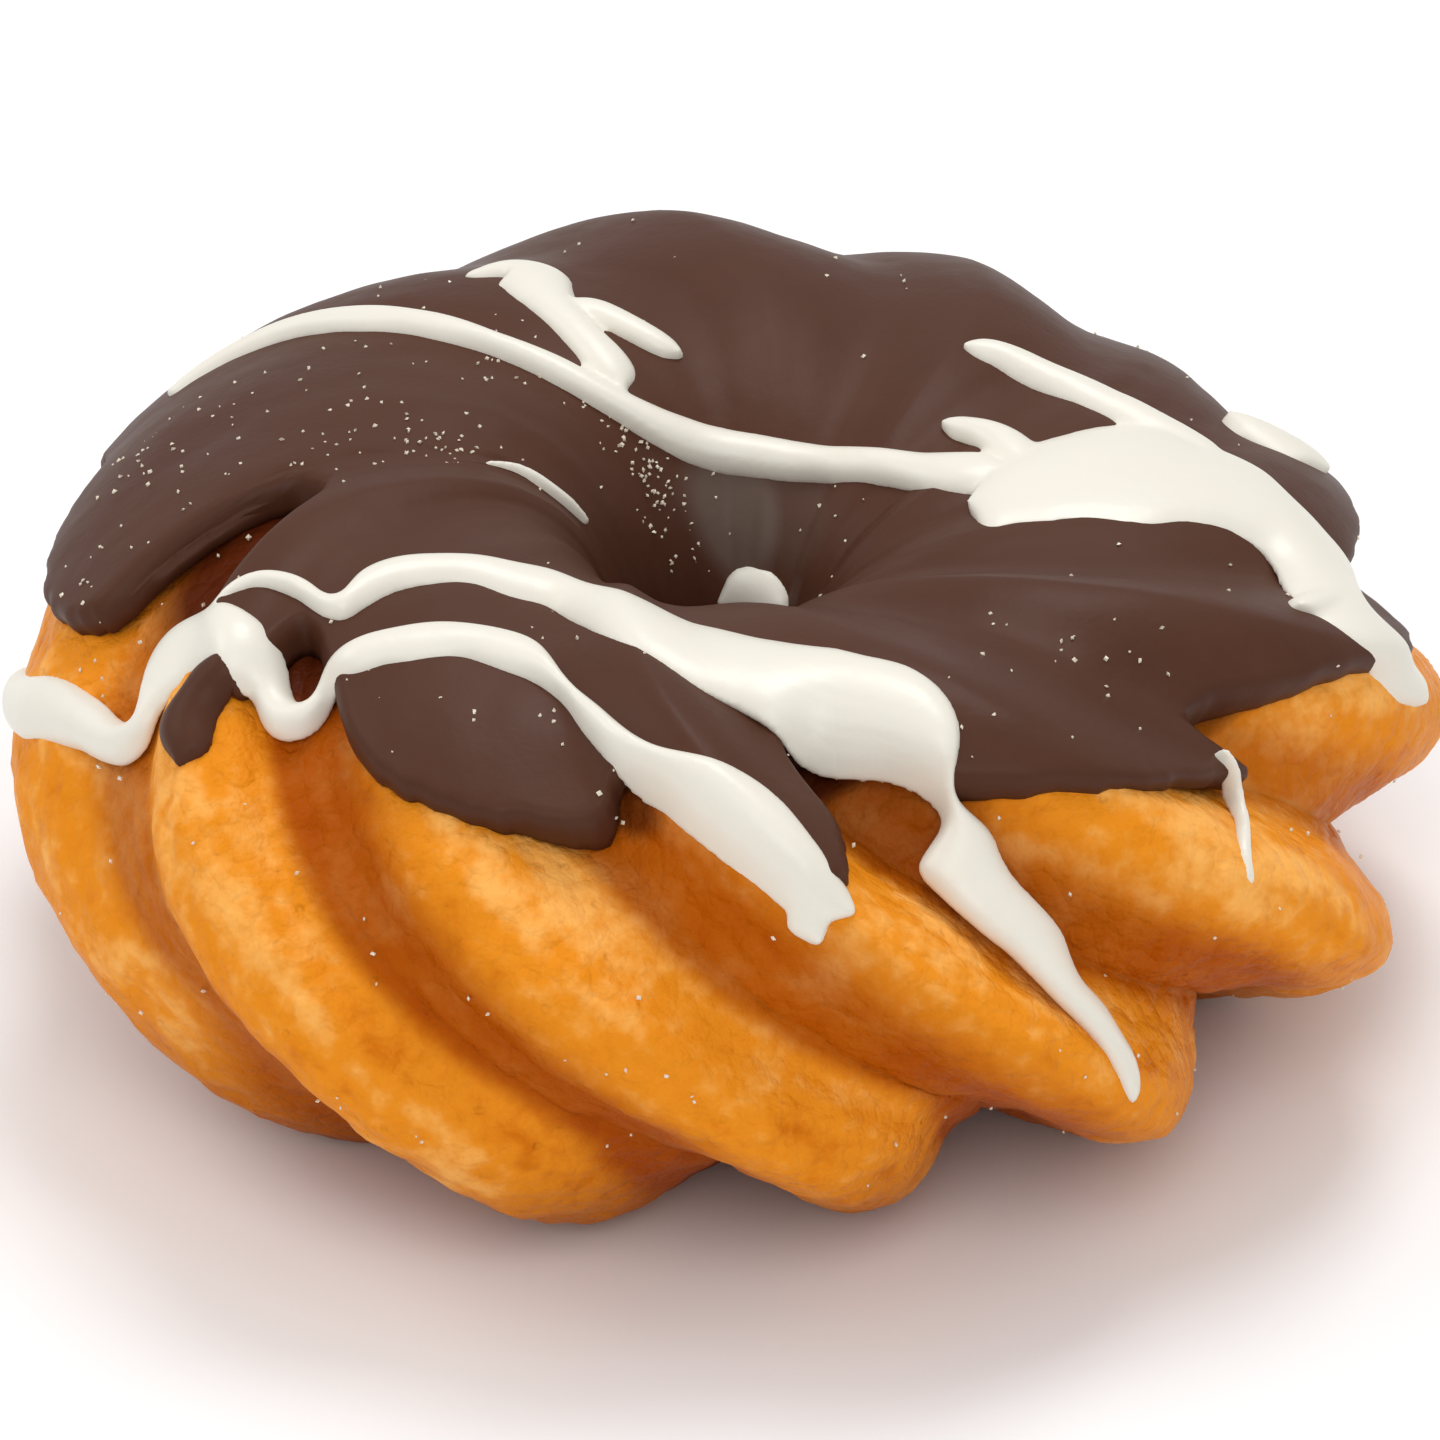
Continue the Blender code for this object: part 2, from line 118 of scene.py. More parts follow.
# Where the chocolate stops on the outer side, round the ring: (lane, tube angle)
OUTER_EDGE = (
    (0.0, 147), (0.5, 157), (1.0, 146), (1.5, 156), (2.0, 146), (2.5, 158), (3.0, 143), (3.5, 155),
    (4.0, 147), (4.55, 161), (5.0, 147), (5.35, 148), (5.60, 144), (5.70, 140), (5.77, 136.5),
    (5.82, 133), (5.85, 127), (5.87, 119.5), (5.885, 112.5), (5.90, 106), (5.915, 100), (5.94, 94),
    (5.99, 90.5), (6.06, 89.5), (6.15, 90.5), (6.23, 93.5), (6.29, 98.5), (6.33, 104), (6.36, 109),
    (6.39, 113), (6.43, 116.5), (6.49, 119), (6.55, 121.5), (6.72, 123), (6.84, 117), (6.93, 109),
    (7.02, 106), (7.12, 108.5), (7.18, 112.5), (7.22, 116.5), (7.265, 121), (7.32, 124),
    (7.40, 126), (7.52, 127), (7.66, 127.5), (7.80, 127), (7.90, 126.5), (7.97, 125.5),
    (8.03, 123), (8.09, 119.5), (8.15, 116.5), (8.22, 117), (8.28, 121), (8.335, 127), (8.39, 134),
    (8.47, 138), (8.60, 137.5), (8.72, 133.5), (8.80, 129.5), (8.87, 124.5), (8.90, 121),
    (8.925, 117), (8.96, 112.5), (9.01, 109), (9.08, 108), (9.13, 110.5), (9.17, 116),
    (9.21, 123.5), (9.26, 126.5), (9.32, 128.5), (9.40, 130.5), (9.50, 134), (9.60, 136.5),
    (9.70, 138.5), (9.80, 141.5), (9.87, 144), (9.91, 143), (9.95, 138), (9.99, 132.5),
    (10.08, 129.5), (10.15, 131), (10.20, 133.5), (10.28, 138), (10.35, 140.5), (10.42, 144),
    (10.50, 150), (10.62, 154), (10.80, 151), (11.0, 147),
)
# Where a dark smear of chocolate stains the bare choux, painted darker still as shade in the deep
# valleys and under the icing:
# (lane, tube angle, half width in lanes, half width in degrees, share)
STAINS_AND_SHADE = (
    (6.05, 101, 0.42, 34, 1.0), (6.98, 107, 0.26, 13, 1.0), (9.04, 108, 0.20, 11, 1.0),
    (9.05, 122, 0.30, 16, 0.35), (8.14, 118, 0.16, 9, 0.8), (10.16, 131, 0.14, 5, 0.5),
)
# Where a painted sheen greys the chocolate on the hole's wall, in the same way
HOLE_SHEEN = ((3.85, 36, 0.8, 17, 0.9), (3.1, 40, 0.8, 14, 0.3))
# A drip of chocolate that hangs below the edge: (lane, tube angle) down its left side, then down
# its right
DRIP = (
    (6.50, 121.5, 6.82, 117.5), (6.45, 127, 6.73, 122), (6.40, 130.5, 6.65, 125.6),
    (6.36, 133, 6.62, 128.2), (6.33, 135.3, 6.62, 130.3), (6.33, 137, 6.63, 132),
    (6.37, 138.6, 6.61, 134.5), (6.42, 139.4, 6.56, 137), (6.465, 139.6, 6.51, 138.5),
)

# The wide strokes, each a row of (lane, tube angle) on one edge and on the other
RIGHT_POOL = (
    (1.17, 72, 0.67, 72), (1.36, 76, 0.48, 76.5), (1.49, 82, 0.48, 81), (1.45, 88, 0.45, 86),
    (1.38, 96, 0.43, 93), (1.26, 105, 0.33, 100), (1.00, 114.5, 0.30, 108),
    (0.77, 121.5, 0.29, 114), (0.61, 126, 0.21, 119.5), (0.44, 129, 0.13, 124),
    (0.33, 133, 0.02, 126.5), (0.21, 137.5, -0.13, 128), (0.07, 141.5, -0.23, 130),
    (-0.10, 141.5, -0.40, 133.5), (-0.28, 143, -0.45, 136.5), (-0.38, 147, -0.53, 141),
    (-0.44, 152, -0.55, 147), (-0.48, 158.5, -0.60, 153), (-0.56, 163.5, -0.62, 159.5),
)
FRONT_STROKE = (
    (6.27, 118.5, 6.30, 119.5), (6.40, 113.7, 6.44, 115), (6.47, 111, 6.52, 112.2),
    (6.515, 108.3, 6.565, 109.6), (6.57, 105.6, 6.62, 107.2), (6.68, 102.6, 6.73, 104.8),
    (6.83, 100, 6.87, 103), (6.94, 99, 6.96, 102.5), (7.04, 99.3, 7.05, 102.5),
    (7.12, 97.5, 7.17, 101), (7.10, 93.5, 7.20, 97.5), (7.11, 89.5, 7.25, 93.5),
    (7.16, 85.5, 7.30, 89.5), (7.26, 81.5, 7.38, 86), (7.33, 79.5, 7.45, 84),
    (7.48, 74.5, 7.57, 81), (7.68, 70.5, 7.75, 79.5), (7.88, 66, 7.93, 77), (8.22, 68, 8.15, 81.5),
    (8.57, 72, 8.35, 88.5), (8.87, 73, 8.51, 94), (9.05, 76.5, 8.63, 97.5), (9.17, 80, 8.74, 101),
    (9.24, 85, 8.86, 103.5), (9.31, 90, 8.94, 107), (9.39, 93.8, 8.98, 111.5),
    (9.43, 99, 9.05, 114.5), (9.47, 104, 9.11, 116.5), (9.45, 110, 9.15, 118.5),
    (9.40, 115, 9.17, 120.5), (9.33, 119.5, 9.185, 122.5), (9.26, 122.5, 9.195, 124.5),
    (9.21, 125, 9.18, 127), (9.23, 129, 9.13, 129.5), (9.22, 132.5, 9.05, 132),
    (9.16, 137.5, 8.96, 135), (9.11, 144, 8.91, 141.5), (9.08, 150, 8.86, 148.5),
    (9.01, 156.5, 8.84, 154), (8.90, 163, 8.79, 160), (8.85, 169, 8.74, 166),
    (8.77, 175, 8.70, 172), (8.71, 180.5, 8.64, 178), (8.62, 185.2, 8.585, 182.8),
    (8.555, 188.7, 8.525, 186.5),
)
LEFT_STROKE = (
    (5.24, 165.5, 5.27, 173), (5.46, 158, 5.53, 164.5), (5.63, 150.2, 5.71, 157),
    (5.80, 145, 5.84, 152.7), (5.90, 143, 5.94, 150), (5.98, 142, 6.05, 146.3),
    (6.12, 137.7, 6.20, 139.7), (6.08, 133.3, 6.25, 134.5), (6.02, 128.5, 6.36, 129),
    (6.08, 122, 6.46, 124.5), (6.27, 115.5, 6.62, 123), (6.62, 111.7, 6.75, 122),
    (6.86, 109.8, 6.79, 121.3), (6.94, 111.7, 6.80, 122.3), (6.945, 114.5, 6.84, 123.8),
    (6.99, 116, 6.90, 124.7), (7.03, 116.5, 7.02, 122.5), (7.10, 113.5, 7.13, 116.2),
    (7.12, 109.5, 7.17, 112.2), (7.20, 106.5, 7.28, 110.2), (7.27, 102.3, 7.34, 107.3),
    (7.41, 97, 7.46, 103.8), (7.55, 92.2, 7.59, 100), (7.71, 89.3, 7.70, 97.7),
    (7.84, 88, 7.79, 97.8), (7.95, 88.3, 7.87, 98), (8.03, 94.3, 7.96, 99), (8.11, 100, 8.04, 103),
    (8.20, 105, 8.08, 108), (8.26, 110, 8.12, 112.5), (8.33, 113.8, 8.16, 116.7),
    (8.43, 116, 8.23, 120), (8.54, 117.8, 8.27, 124), (8.62, 120.2, 8.30, 129),
    (8.66, 124.3, 8.33, 134), (8.64, 129.5, 8.36, 138), (8.62, 133.5, 8.36, 141.5),
    (8.60, 137.3, 8.38, 143.5), (8.60, 139.8, 8.45, 143.7), (8.58, 142, 8.49, 143.8),
)
# The narrower strokes, each a row of (lane, tube angle, half width in millimetres)
UPPER_STROKE = (
    (4.84, 138, 0.5), (4.80, 131, 0.7), (4.79, 125, 0.9), (4.79, 118, 1.1), (4.81, 111, 1.4),
    (4.84, 103, 1.5), (4.87, 95, 1.4), (4.89, 87, 1.3), (4.90, 80, 1.1), (4.89, 75, 1.15),
    (4.86, 69, 1.3), (4.81, 63, 1.3), (4.72, 58, 1.25), (4.56, 53.5, 1.4), (4.35, 50.5, 1.5),
    (4.05, 49, 1.5), (3.67, 49.5, 1.45), (3.34, 51, 1.4), (3.02, 54, 1.35), (2.62, 57.5, 1.5),
    (2.25, 62, 1.5), (1.88, 67, 1.9), (1.53, 72, 2.3), (1.25, 78, 2.4),
)
HOOK_STROKE = (
    (4.42, 104, 0.5), (4.34, 102.5, 0.9), (4.28, 100, 1.6), (4.30, 96.5, 2.5), (4.37, 91, 2.3),
    (4.44, 84.5, 1.8), (4.49, 78.5, 1.6), (4.52, 73, 1.7), (4.53, 69, 1.8), (4.56, 64.5, 1.7),
    (4.62, 60, 1.2),
)
HOOK_ARM = (
    (4.42, 84, 0.9), (4.32, 82, 1.3), (4.26, 78, 1.35), (4.20, 74.5, 1.3), (4.12, 71, 1.1),
    (4.05, 69, 0.7),
)
RIGHT_STROKE = (
    (2.47, 88, 0.5), (2.38, 90, 1.0), (2.28, 92, 1.2), (2.17, 94, 1.4), (2.02, 96, 1.5),
    (1.84, 98.5, 1.6), (1.62, 101.5, 1.6), (1.44, 104.5, 1.7), (1.27, 107, 1.8),
    (1.08, 109.8, 1.9), (0.88, 114, 1.8), (0.72, 117.5, 1.3),
)
RIGHT_PRONG = (
    (2.22, 74, 0.6), (2.10, 76, 1.0), (1.96, 78, 1.2), (1.76, 80, 1.4), (1.50, 81.5, 1.7),
    (1.25, 82, 1.6),
)
POOL_LOBE = ((-0.06, 136, 1.6), (-0.27, 134, 1.4), (-0.31, 131.5, 1.1), (-0.35, 129.5, 0.7))
BACK_PATCH = (
    (1.02, 131, 0.7), (0.88, 135, 1.8), (0.75, 140, 2.7), (0.64, 144, 2.6), (0.54, 147, 1.2),
)
HOLE_STROKE = (
    (5.99, 62, 0.25), (5.94, 55, 0.5), (5.97, 48, 0.6), (5.95, 41, 0.5), (5.93, 36, 0.25),
)
HOLE_DROP = (
    (4.22, 17, 1.0), (3.90, 20, 1.8), (3.52, 21.2, 2.1), (3.15, 20.5, 1.9), (2.80, 18, 1.0),
)
STROKE_TONGUE = ((8.43, 138.5, 1.0), (8.41, 142, 1.4), (8.37, 145, 1.15), (8.35, 147, 0.7))
THIN_STROKE = (
    (9.88, 136, 0.3), (9.85, 139, 0.4), (9.83, 142, 0.45), (9.72, 147.5, 0.42), (9.59, 151, 0.45),
    (9.51, 154, 0.5), (9.46, 157.5, 0.5),
)
STROKES = (
    UPPER_STROKE, HOOK_STROKE, HOOK_ARM, RIGHT_STROKE, RIGHT_PRONG, RIGHT_POOL, POOL_LOBE,
    BACK_PATCH, HOLE_STROKE, HOLE_DROP, FRONT_STROKE, LEFT_STROKE, STROKE_TONGUE, THIN_STROKE,
)

# Where the sugar lies thickest:
# (lane, tube angle, spread in lanes, spread in degrees, share of the grains)
SUGAR_PATCHES = (
    (5.90, 70, 0.10, 9, 0.16), (4.82, 46, 0.14, 9, 0.24), (4.6, 36, 0.3, 7, 0.06),
    (5.38, 124, 0.16, 6, 0.09), (5.6, 80, 0.25, 16, 0.08), (4.95, 78, 0.22, 12, 0.07),
    (5.70, 138, 0.12, 5, 0.04), (5.5, 108, 0.3, 16, 0.06), (10.08, 110, 0.12, 10, 0.05),
    (9.5, 118, 0.3, 5, 0.03), (8.2, 92, 0.4, 14, 0.03), (4.2, 85, 0.9, 14, 0.05),
    (2.6, 85, 1.6, 22, 0.02), (0.6, 95, 0.6, 12, 0.02), (4.0, 32, 0.25, 6, 0.015),
    (2.4, 46, 0.5, 8, 0.025),
)


def smooth(t):
    """Eases 0..1 in and out."""
    t = np.clip(t, 0.0, 1.0)
    return t * t * (3.0 - 2.0 * t)


def keyed(keys, x):
    """Value at x between (x, value) keys, eased from one to the next."""
    places, values = np.array(keys, float).T
    x = np.clip(x, places[0], places[-1])
    after = np.clip(np.searchsorted(places, x), 1, len(places) - 1)
    share = smooth((x - places[after - 1]) / (places[after] - places[after - 1]))
    return values[after - 1] + (values[after] - values[after - 1]) * share


def window(tube, limits):
    """0 outside, 1 in the middle of (start, full, fading, end), eased between."""
    start, full, fading, end = limits
    return smooth((tube - start) / (full - start)) * smooth((end - tube) / (end - fading))


def waves(azimuth_deg, *sizes):
    """Sum of waves round the ring, each (count, azimuth of its first high spot, size)."""
    return sum(
        size * np.cos(np.radians(count * (azimuth_deg - high))) for count, high, size in sizes
    )


def between_valleys(values, lane, whole_turn=0.0):
    """Value at a lane, from one value a valley; whole_turn is what a turn of the ring adds."""
    turns, within = np.divmod(lane, FLUTES)
    first = np.minimum(within.astype(int), FLUTES - 1)
    values = np.append(values, values[0] + whole_turn)
    value = values[first] + (values[first + 1] - values[first]) * (within - first)
    return value + whole_turn * turns


def lane_azimuth(lane, tube):
    """Azimuth of a lane at a tube angle, in degrees."""
    even = VALLEY_AZIMUTH_DEG[0] + 360.0 * lane / FLUTES
    uneven = between_valleys(VALLEY_AZIMUTH_DEG, lane, 360.0) - even
    lean = between_valleys(VALLEY_LEAN_DEG, lane) * window(tube, LEAN_WINDOW_DEG)
    past_crown = np.radians(tube - 90.0)
    twist = TWIST_DEG * (tube - 90.0) / 360.0
    twist += sum(size * np.sin((i + 1) * past_crown) for i, size in enumerate(TWIST_WAVES_DEG))
    return even + uneven * window(tube, SPACING_WINDOW_DEG) + lean + twist


def valley_share(lane, softness=0.0):
    """0 on a crest, 1 in a valley; softness rounds the bottom of the valley."""
    share = (2.0 * np.abs(lane - np.floor(lane) - 0.5)) ** VALLEY_SHARPNESS
    return np.sqrt(1.0 + softness**2) - np.sqrt((1.0 - share) ** 2 + softness**2)


def flute_reach(lane, softness):
    """How far each flute reaches out, eased from flute to flute where the valleys are softened."""
    within = lane - np.floor(lane)
    flute = np.floor(lane).astype(int) % FLUTES
    beside = (flute + np.where(within < 0.5, -1, 1)) % FLUTES
    easing = 0.5 * valley_share(lane) * np.minimum(1.0, EASE_WITH_SOFTNESS * softness)
    return FLUTE_REACH[flute] + (FLUTE_REACH[beside] - FLUTE_REACH[flute]) * easing


def ring_point(lane, tube, fill=0.0, lift=0.0, softness=0.0):
    """Points of the ring; fill is the share of the valley filled in, lift the height above it."""
    lane, tube = np.broadcast_arrays(np.asarray(lane, float), np.asarray(tube, float))
    azimuth = lane_azimuth(lane, tube)
    share = valley_share(lane, softness)
    reach = flute_reach(lane, softness) * (1.0 - share) * window(tube, REACH_WINDOW_DEG)
    out = lift + reach - keyed(VALLEY_DEPTH, tube) * (1.0 - fill) * share
    across = np.cos(np.radians(tube))
    up = np.sin(np.radians(tube))
    half_width = np.where(across < 0.0, OUTER_HALF_WIDTH, STRAND_CENTRE_RADIUS - HOLE_RADIUS)
    fullness = np.where(across < 0.0, OUTER_FULLNESS, HOLE_FULLNESS)
    wave = waves(azimuth, *RADIUS_WAVES) * (1.0 - np.maximum(0.0, across))
    radial = STRAND_CENTRE_RADIUS + wave - (half_width + out) * across * (1.0 + fullness * up * up)
    half_height = np.where(up < 0.0, BOTTOM_HALF_HEIGHT, TOP_HALF_HEIGHT)
    fullness = np.where(up < 0.0, BOTTOM_FULLNESS, TOP_FULLNESS)
    tilt = 0.5 * waves(azimuth, HEIGHT_WAVE)
    height = BOTTOM_HALF_HEIGHT - BASE_FLAT + tilt
    height = height + (half_height + tilt + out) * up * (1.0 + fullness * across * across)
    azimuth = np.radians(azimuth)
    x = HOLE_CENTRE[0] + radial * np.cos(azimuth)
    y = HOLE_CENTRE[1] + radial * np.sin(azimuth)
    return np.stack([x, y, np.maximum(0.0, height)], axis=-1)


PROBE_LANES = 0.02
PROBE_DEG = 1.0
SHORTEST = 1e-12


def skin_directions(lane, tube, point_at=ring_point):
    """How far the skin runs for each lane and each degree, and which way it faces."""
    along_lane = point_at(lane + PROBE_LANES, tube) - point_at(lane - PROBE_LANES, tube)
    along_tube = point_at(lane, tube + PROBE_DEG) - point_at(lane, tube - PROBE_DEG)
    facing = np.cross(along_tube, along_lane)
    facing /= np.maximum(np.linalg.norm(facing, axis=-1, keepdims=True), SHORTEST)
    return along_lane / (2.0 * PROBE_LANES), along_tube / (2.0 * PROBE_DEG), facing


NOISE_TABLE = 4093
NOISE_STRIDES = np.array((73856093, 19349663, 83492791))
NOISE_GAIN = 1.5


def soft_noise(points, size, seed):
    """Smooth random heights, about -1 to 1, with hills about as wide as size."""
    random = np.random.default_rng(seed)
    slopes = random.normal(size=(NOISE_TABLE, 3))
    slopes /= np.linalg.norm(slopes, axis=1, keepdims=True)
    cell = points / size
    base = np.floor(cell).astype(np.int64)
    inside = cell - base
    ease = smooth(inside)
    total = np.zeros(points.shape[:-1])
    for corner in itertools.product((0, 1), repeat=3):
        index = ((base + corner) @ NOISE_STRIDES) % NOISE_TABLE
        weight = np.prod(np.where(corner, ease, 1.0 - ease), axis=-1)
        total += weight * np.sum(slopes[index] * (inside - corner), axis=-1)
    return NOISE_GAIN * total


def flowing(keys, x):
    """Value at x on a smooth curve through (x, value) keys."""
    places, values = np.array(keys, float).T
    slopes = np.gradient(values, places)
    after = np.clip(np.searchsorted(places, x), 1, len(places) - 1)
    before = after - 1
    span = places[after] - places[before]
    t = (x - places[before]) / span
    rise = smooth(t)
    bend = span * t * (1.0 - t) * (slopes[before] * (1.0 - t) - slopes[after] * t)
    return values[before] + (values[after] - values[before]) * rise + bend


# ------------------------------------------------ the chocolate's thickness and edges

# Each noise is (size of its hills, seed)
EDGE_RAGGED_DEG = 1.1
EDGE_RAGGED_NOISE = (2.2 * MM, 11)
EDGE_FINE_DEG = 0.5
EDGE_FINE_NOISE = (0.9 * MM, 12)
# How far in from the edge the coat reaches its full thickness
EDGE_LIP = 1.1 * MM
EDGE_TRACE_LANES = 0.002


def edge_wobble(lane, tube):
    """How ragged the chocolate's edge is, in degrees."""
    place = ring_point(lane, tube)
    ragged = EDGE_RAGGED_DEG * soft_noise(place, *EDGE_RAGGED_NOISE)
    return ragged + EDGE_FINE_DEG * soft_noise(place, *EDGE_FINE_NOISE)


def coat_edges(lane):
    """Tube angles where the chocolate starts in the hole and where it stops on the outer side."""
    outer = flowing(OUTER_EDGE, np.mod(lane, FLUTES))
    inner = HOLE_EDGE_DEG + waves(360.0 * lane / FLUTES, *HOLE_EDGE_WAVES_DEG)
    return inner + edge_wobble(lane, inner), outer + edge_wobble(lane, outer)


def tree_of(places):
    """Points, ready to be searched by distance."""
    tree = KDTree(len(places))
    for i, place in enumerate(places):
        tree.insert(place, i)
    tree.balance()
    return tree


@functools.cache
def edge_tree():
    """Closely spaced points of both edges of the chocolate."""
    lane = np.arange(0.0, FLUTES, EDGE_TRACE_LANES)
    return tree_of(np.concatenate([ring_point(lane, edge) for edge in coat_edges(lane)]))


def coat_share(lane, tube):
    """Share of the chocolate's full thickness: 1 well inside, rounded down to 0 at the edges."""
    lane, tube = np.broadcast_arrays(np.asarray(lane, float), np.asarray(tube, float))
    inner, outer = coat_edges(lane)
    covered = (tube > inner) & (tube < outer)
    away = np.zeros(lane.shape)
    places = ring_point(lane[covered], tube[covered])
    away[covered] = [edge_tree().find(place)[2] for place in places]
    return np.sqrt(1.0 - (1.0 - np.minimum(1.0, away / EDGE_LIP)) ** 2)


def coat_top(lane, tube, above=0.0, softness=0.0):
    """Points above the chocolate, or above the skin where there is none.

    The softness given is added to that of the chocolate's own creases.
    """
    share = coat_share(lane, tube)
    lift = (CLEARANCE + GLAZE_THICKNESS) * share + above
    softness = keyed(CREASE_SOFTNESS, tube) * share + softness
    return ring_point(lane, tube, GLAZE_VALLEY_FILL * share, lift, softness)


# ------------------------------------------------ meshes


def new_piece(name, points, faces, material, **surface):
    """A smooth-shaded object; each surface value is kept on the mesh for its material."""
    mesh = bpy.data.meshes.new(name)
    corners = np.asarray(points).reshape(-1, 3).tolist()
    mesh.from_pydata(corners, [], [list(face) for face in faces])
    for value_name, values in surface.items():
        attribute = mesh.attributes.new(value_name, "FLOAT", "POINT")
        attribute.data.foreach_set("value", np.asarray(values, np.float32).ravel())
    mesh.materials.append(material)
    mesh.shade_smooth()
    piece = bpy.data.objects.new(name, mesh)
    bpy.context.scene.collection.objects.link(piece)
    return piece


def grid_faces(rows, columns, wrap_rows=False, last_row_shift=0):
    """Four-cornered faces of a grid that closes round its columns.

    With wrap_rows the last row also meets the first, that many columns further on.
    """
    below = np.arange(rows * columns).reshape(rows, columns)
    above = np.roll(below, -1, axis=0)
    above[-1] = np.roll(above[-1], last_row_shift)
    corners = (below, np.roll(below, -1, axis=1), np.roll(above, -1, axis=1), above)
    return np.stack(corners, axis=-1)[: rows if wrap_rows else rows - 1].reshape(-1, 4)


def apply_modifiers(piece):
    """Turns what the modifiers show into the piece's own mesh."""
    graph = bpy.context.evaluated_depsgraph_get()
    shown = bpy.data.meshes.new_from_object(piece.evaluated_get(graph))
    piece.modifiers.clear()
    piece.data = shown


# ------------------------------------------------ shader helpers


def add_node(tree, kind, sockets=None, **settings):
    """A shader node; sockets holds a value or another node's output for each input."""
    node = tree.nodes.new(kind)
    for name, value in settings.items():
        setattr(node, name, value)
    for name, value in (sockets or {}).items():
        if isinstance(value, bpy.types.NodeSocket):
            tree.links.new(value, node.inputs[name])
        else:
            node.inputs[name].default_value = value
    return node


def mix_colours(tree, share, first, second):
    """First where share is 0, second where it is 1."""
    sockets = {0: share, 6: first, 7: second}
    return add_node(tree, "ShaderNodeMix", sockets, data_type="RGBA").outputs[2]


def mix_values(tree, share, first, second):
    """First where share is 0, second where it is 1."""
    return add_node(tree, "ShaderNodeMix", {0: share, 2: first, 3: second}).outputs[0]


def calculate(tree, operation, first, second=0.0, third=0.0):
    """What a Math node makes of up to three values."""
    sockets = {0: first, 1: second, 2: third}
    return add_node(tree, "ShaderNodeMath", sockets, operation=operation).outputs[0]


def remap(tree, value, low, high, to_low=0.0, to_high=1.0):
    """Value from the range low..high, eased to to_low..to_high."""
    sockets = {
        "Value": value, "From Min": low, "From Max": high, "To Min": to_low, "To Max": to_high,
    }
    node = add_node(tree, "ShaderNodeMapRange", sockets, interpolation_type="SMOOTHSTEP")
    return node.outputs["Result"]


def surface_value(tree, name):
    """A value that the mesh holds at each corner."""
    return add_node(tree, "ShaderNodeAttribute", attribute_name=name).outputs["Fac"]


def opaque(colour):
    """The colour with its fourth value."""
    return (*colour, 1.0)


def new_group(name, inputs, outputs):
    """A shader node group; inputs are (name, default), outputs are names.

    Gives the group, the sockets that its inputs come from and those that its outputs go to.
    """
    group = bpy.data.node_groups.new(name, "ShaderNodeTree")
    number = "NodeSocketFloat"
    for socket_name, default in inputs:
        socket = group.interface.new_socket(socket_name, in_out="INPUT", socket_type=number)
        socket.default_value = default
    for socket_name in outputs:
        group.interface.new_socket(socket_name, in_out="OUTPUT", socket_type=number)
    given = group.nodes.new("NodeGroupInput").outputs
    return group, given, group.nodes.new("NodeGroupOutput").inputs


def sized_texture(group, kind, size, **sockets):
    """The outputs of a texture that stays with the piece; size gives its size in millimetres."""
    place = add_node(group, "ShaderNodeTexCoord").outputs["Object"]
    scale = calculate(group, "DIVIDE", 1.0 / MM, size)
    return add_node(group, kind, {"Vector": place, "Scale": scale, **sockets}).outputs


def mottle_group():
    """Uneven patches of tone, broad ones with finer ones in them."""
    inputs = (("Broad Size", 8.0), ("Fine Size", 1.5), ("Fine Share", 0.35), ("Contrast", 1.0))
    group, given, result = new_group("mottle", inputs, ("Tone",))
    broad, fine = (
        sized_texture(group, "ShaderNodeTexNoise", given[name], Detail=2.0, Roughness=0.55)["Fac"]
        for name in ("Broad Size", "Fine Size")
    )
    both = mix_values(group, given["Fine Share"], broad, fine)
    middle = calculate(group, "SUBTRACT", both, 0.5)
    spread = calculate(group, "MULTIPLY_ADD", middle, given["Contrast"], 0.5)
    tone = add_node(group, "ShaderNodeClamp", {"Value": spread}).outputs[0]
    group.links.new(tone, result["Tone"])
    return group


# How far from the middle of a pit its floor and its rim lie, as shares of the cell
PIT_RIM = (0.02, 0.16)


def relief_group():
    """Height of a food's fine surface: grain, soft bubbles and pits, each as strong as asked."""
    inputs = (
        ("Grain Size", 0.4), ("Grain", 0.5), ("Bubble Size", 1.2), ("Bubbles", 0.3),
        ("Pit Size", 2.5), ("Pits", 0.5),
    )
    group, given, result = new_group("fine_relief", inputs, ("Height",))
    clouds, cells = "ShaderNodeTexNoise", "ShaderNodeTexVoronoi"
    grain = sized_texture(group, clouds, given["Grain Size"], Detail=1.5, Roughness=0.6)["Fac"]
    bubble = sized_texture(group, cells, given["Bubble Size"])["Distance"]
    bubble = calculate(group, "SUBTRACT", 1.0, calculate(group, "MULTIPLY", bubble, bubble))
    pit = remap(group, sized_texture(group, cells, given["Pit Size"])["Distance"], *PIT_RIM)
    height = calculate(group, "MULTIPLY", grain, given["Grain"])
    height = calculate(group, "MULTIPLY_ADD", bubble, given["Bubbles"], height)
    height = calculate(group, "MULTIPLY_ADD", pit, given["Pits"], height)
    group.links.new(height, result["Height"])
    return group


def shared_group(tree, name, make, values):
    """A node of a group that is made once, with this material's own values."""
    node = tree.nodes.new("ShaderNodeGroup")
    node.node_tree = bpy.data.node_groups.get(name) or make()
    for socket_name, value in values.items():
        node.inputs[socket_name].default_value = value
    return node.outputs[0]


def mottle(tree, broad, fine, fine_share, contrast):
    """Tone from 0 to 1 in patches; sizes in millimetres."""
    values = {
        "Broad Size": broad, "Fine Size": fine, "Fine Share": fine_share, "Contrast": contrast,
    }
    return shared_group(tree, "mottle", mottle_group, values)


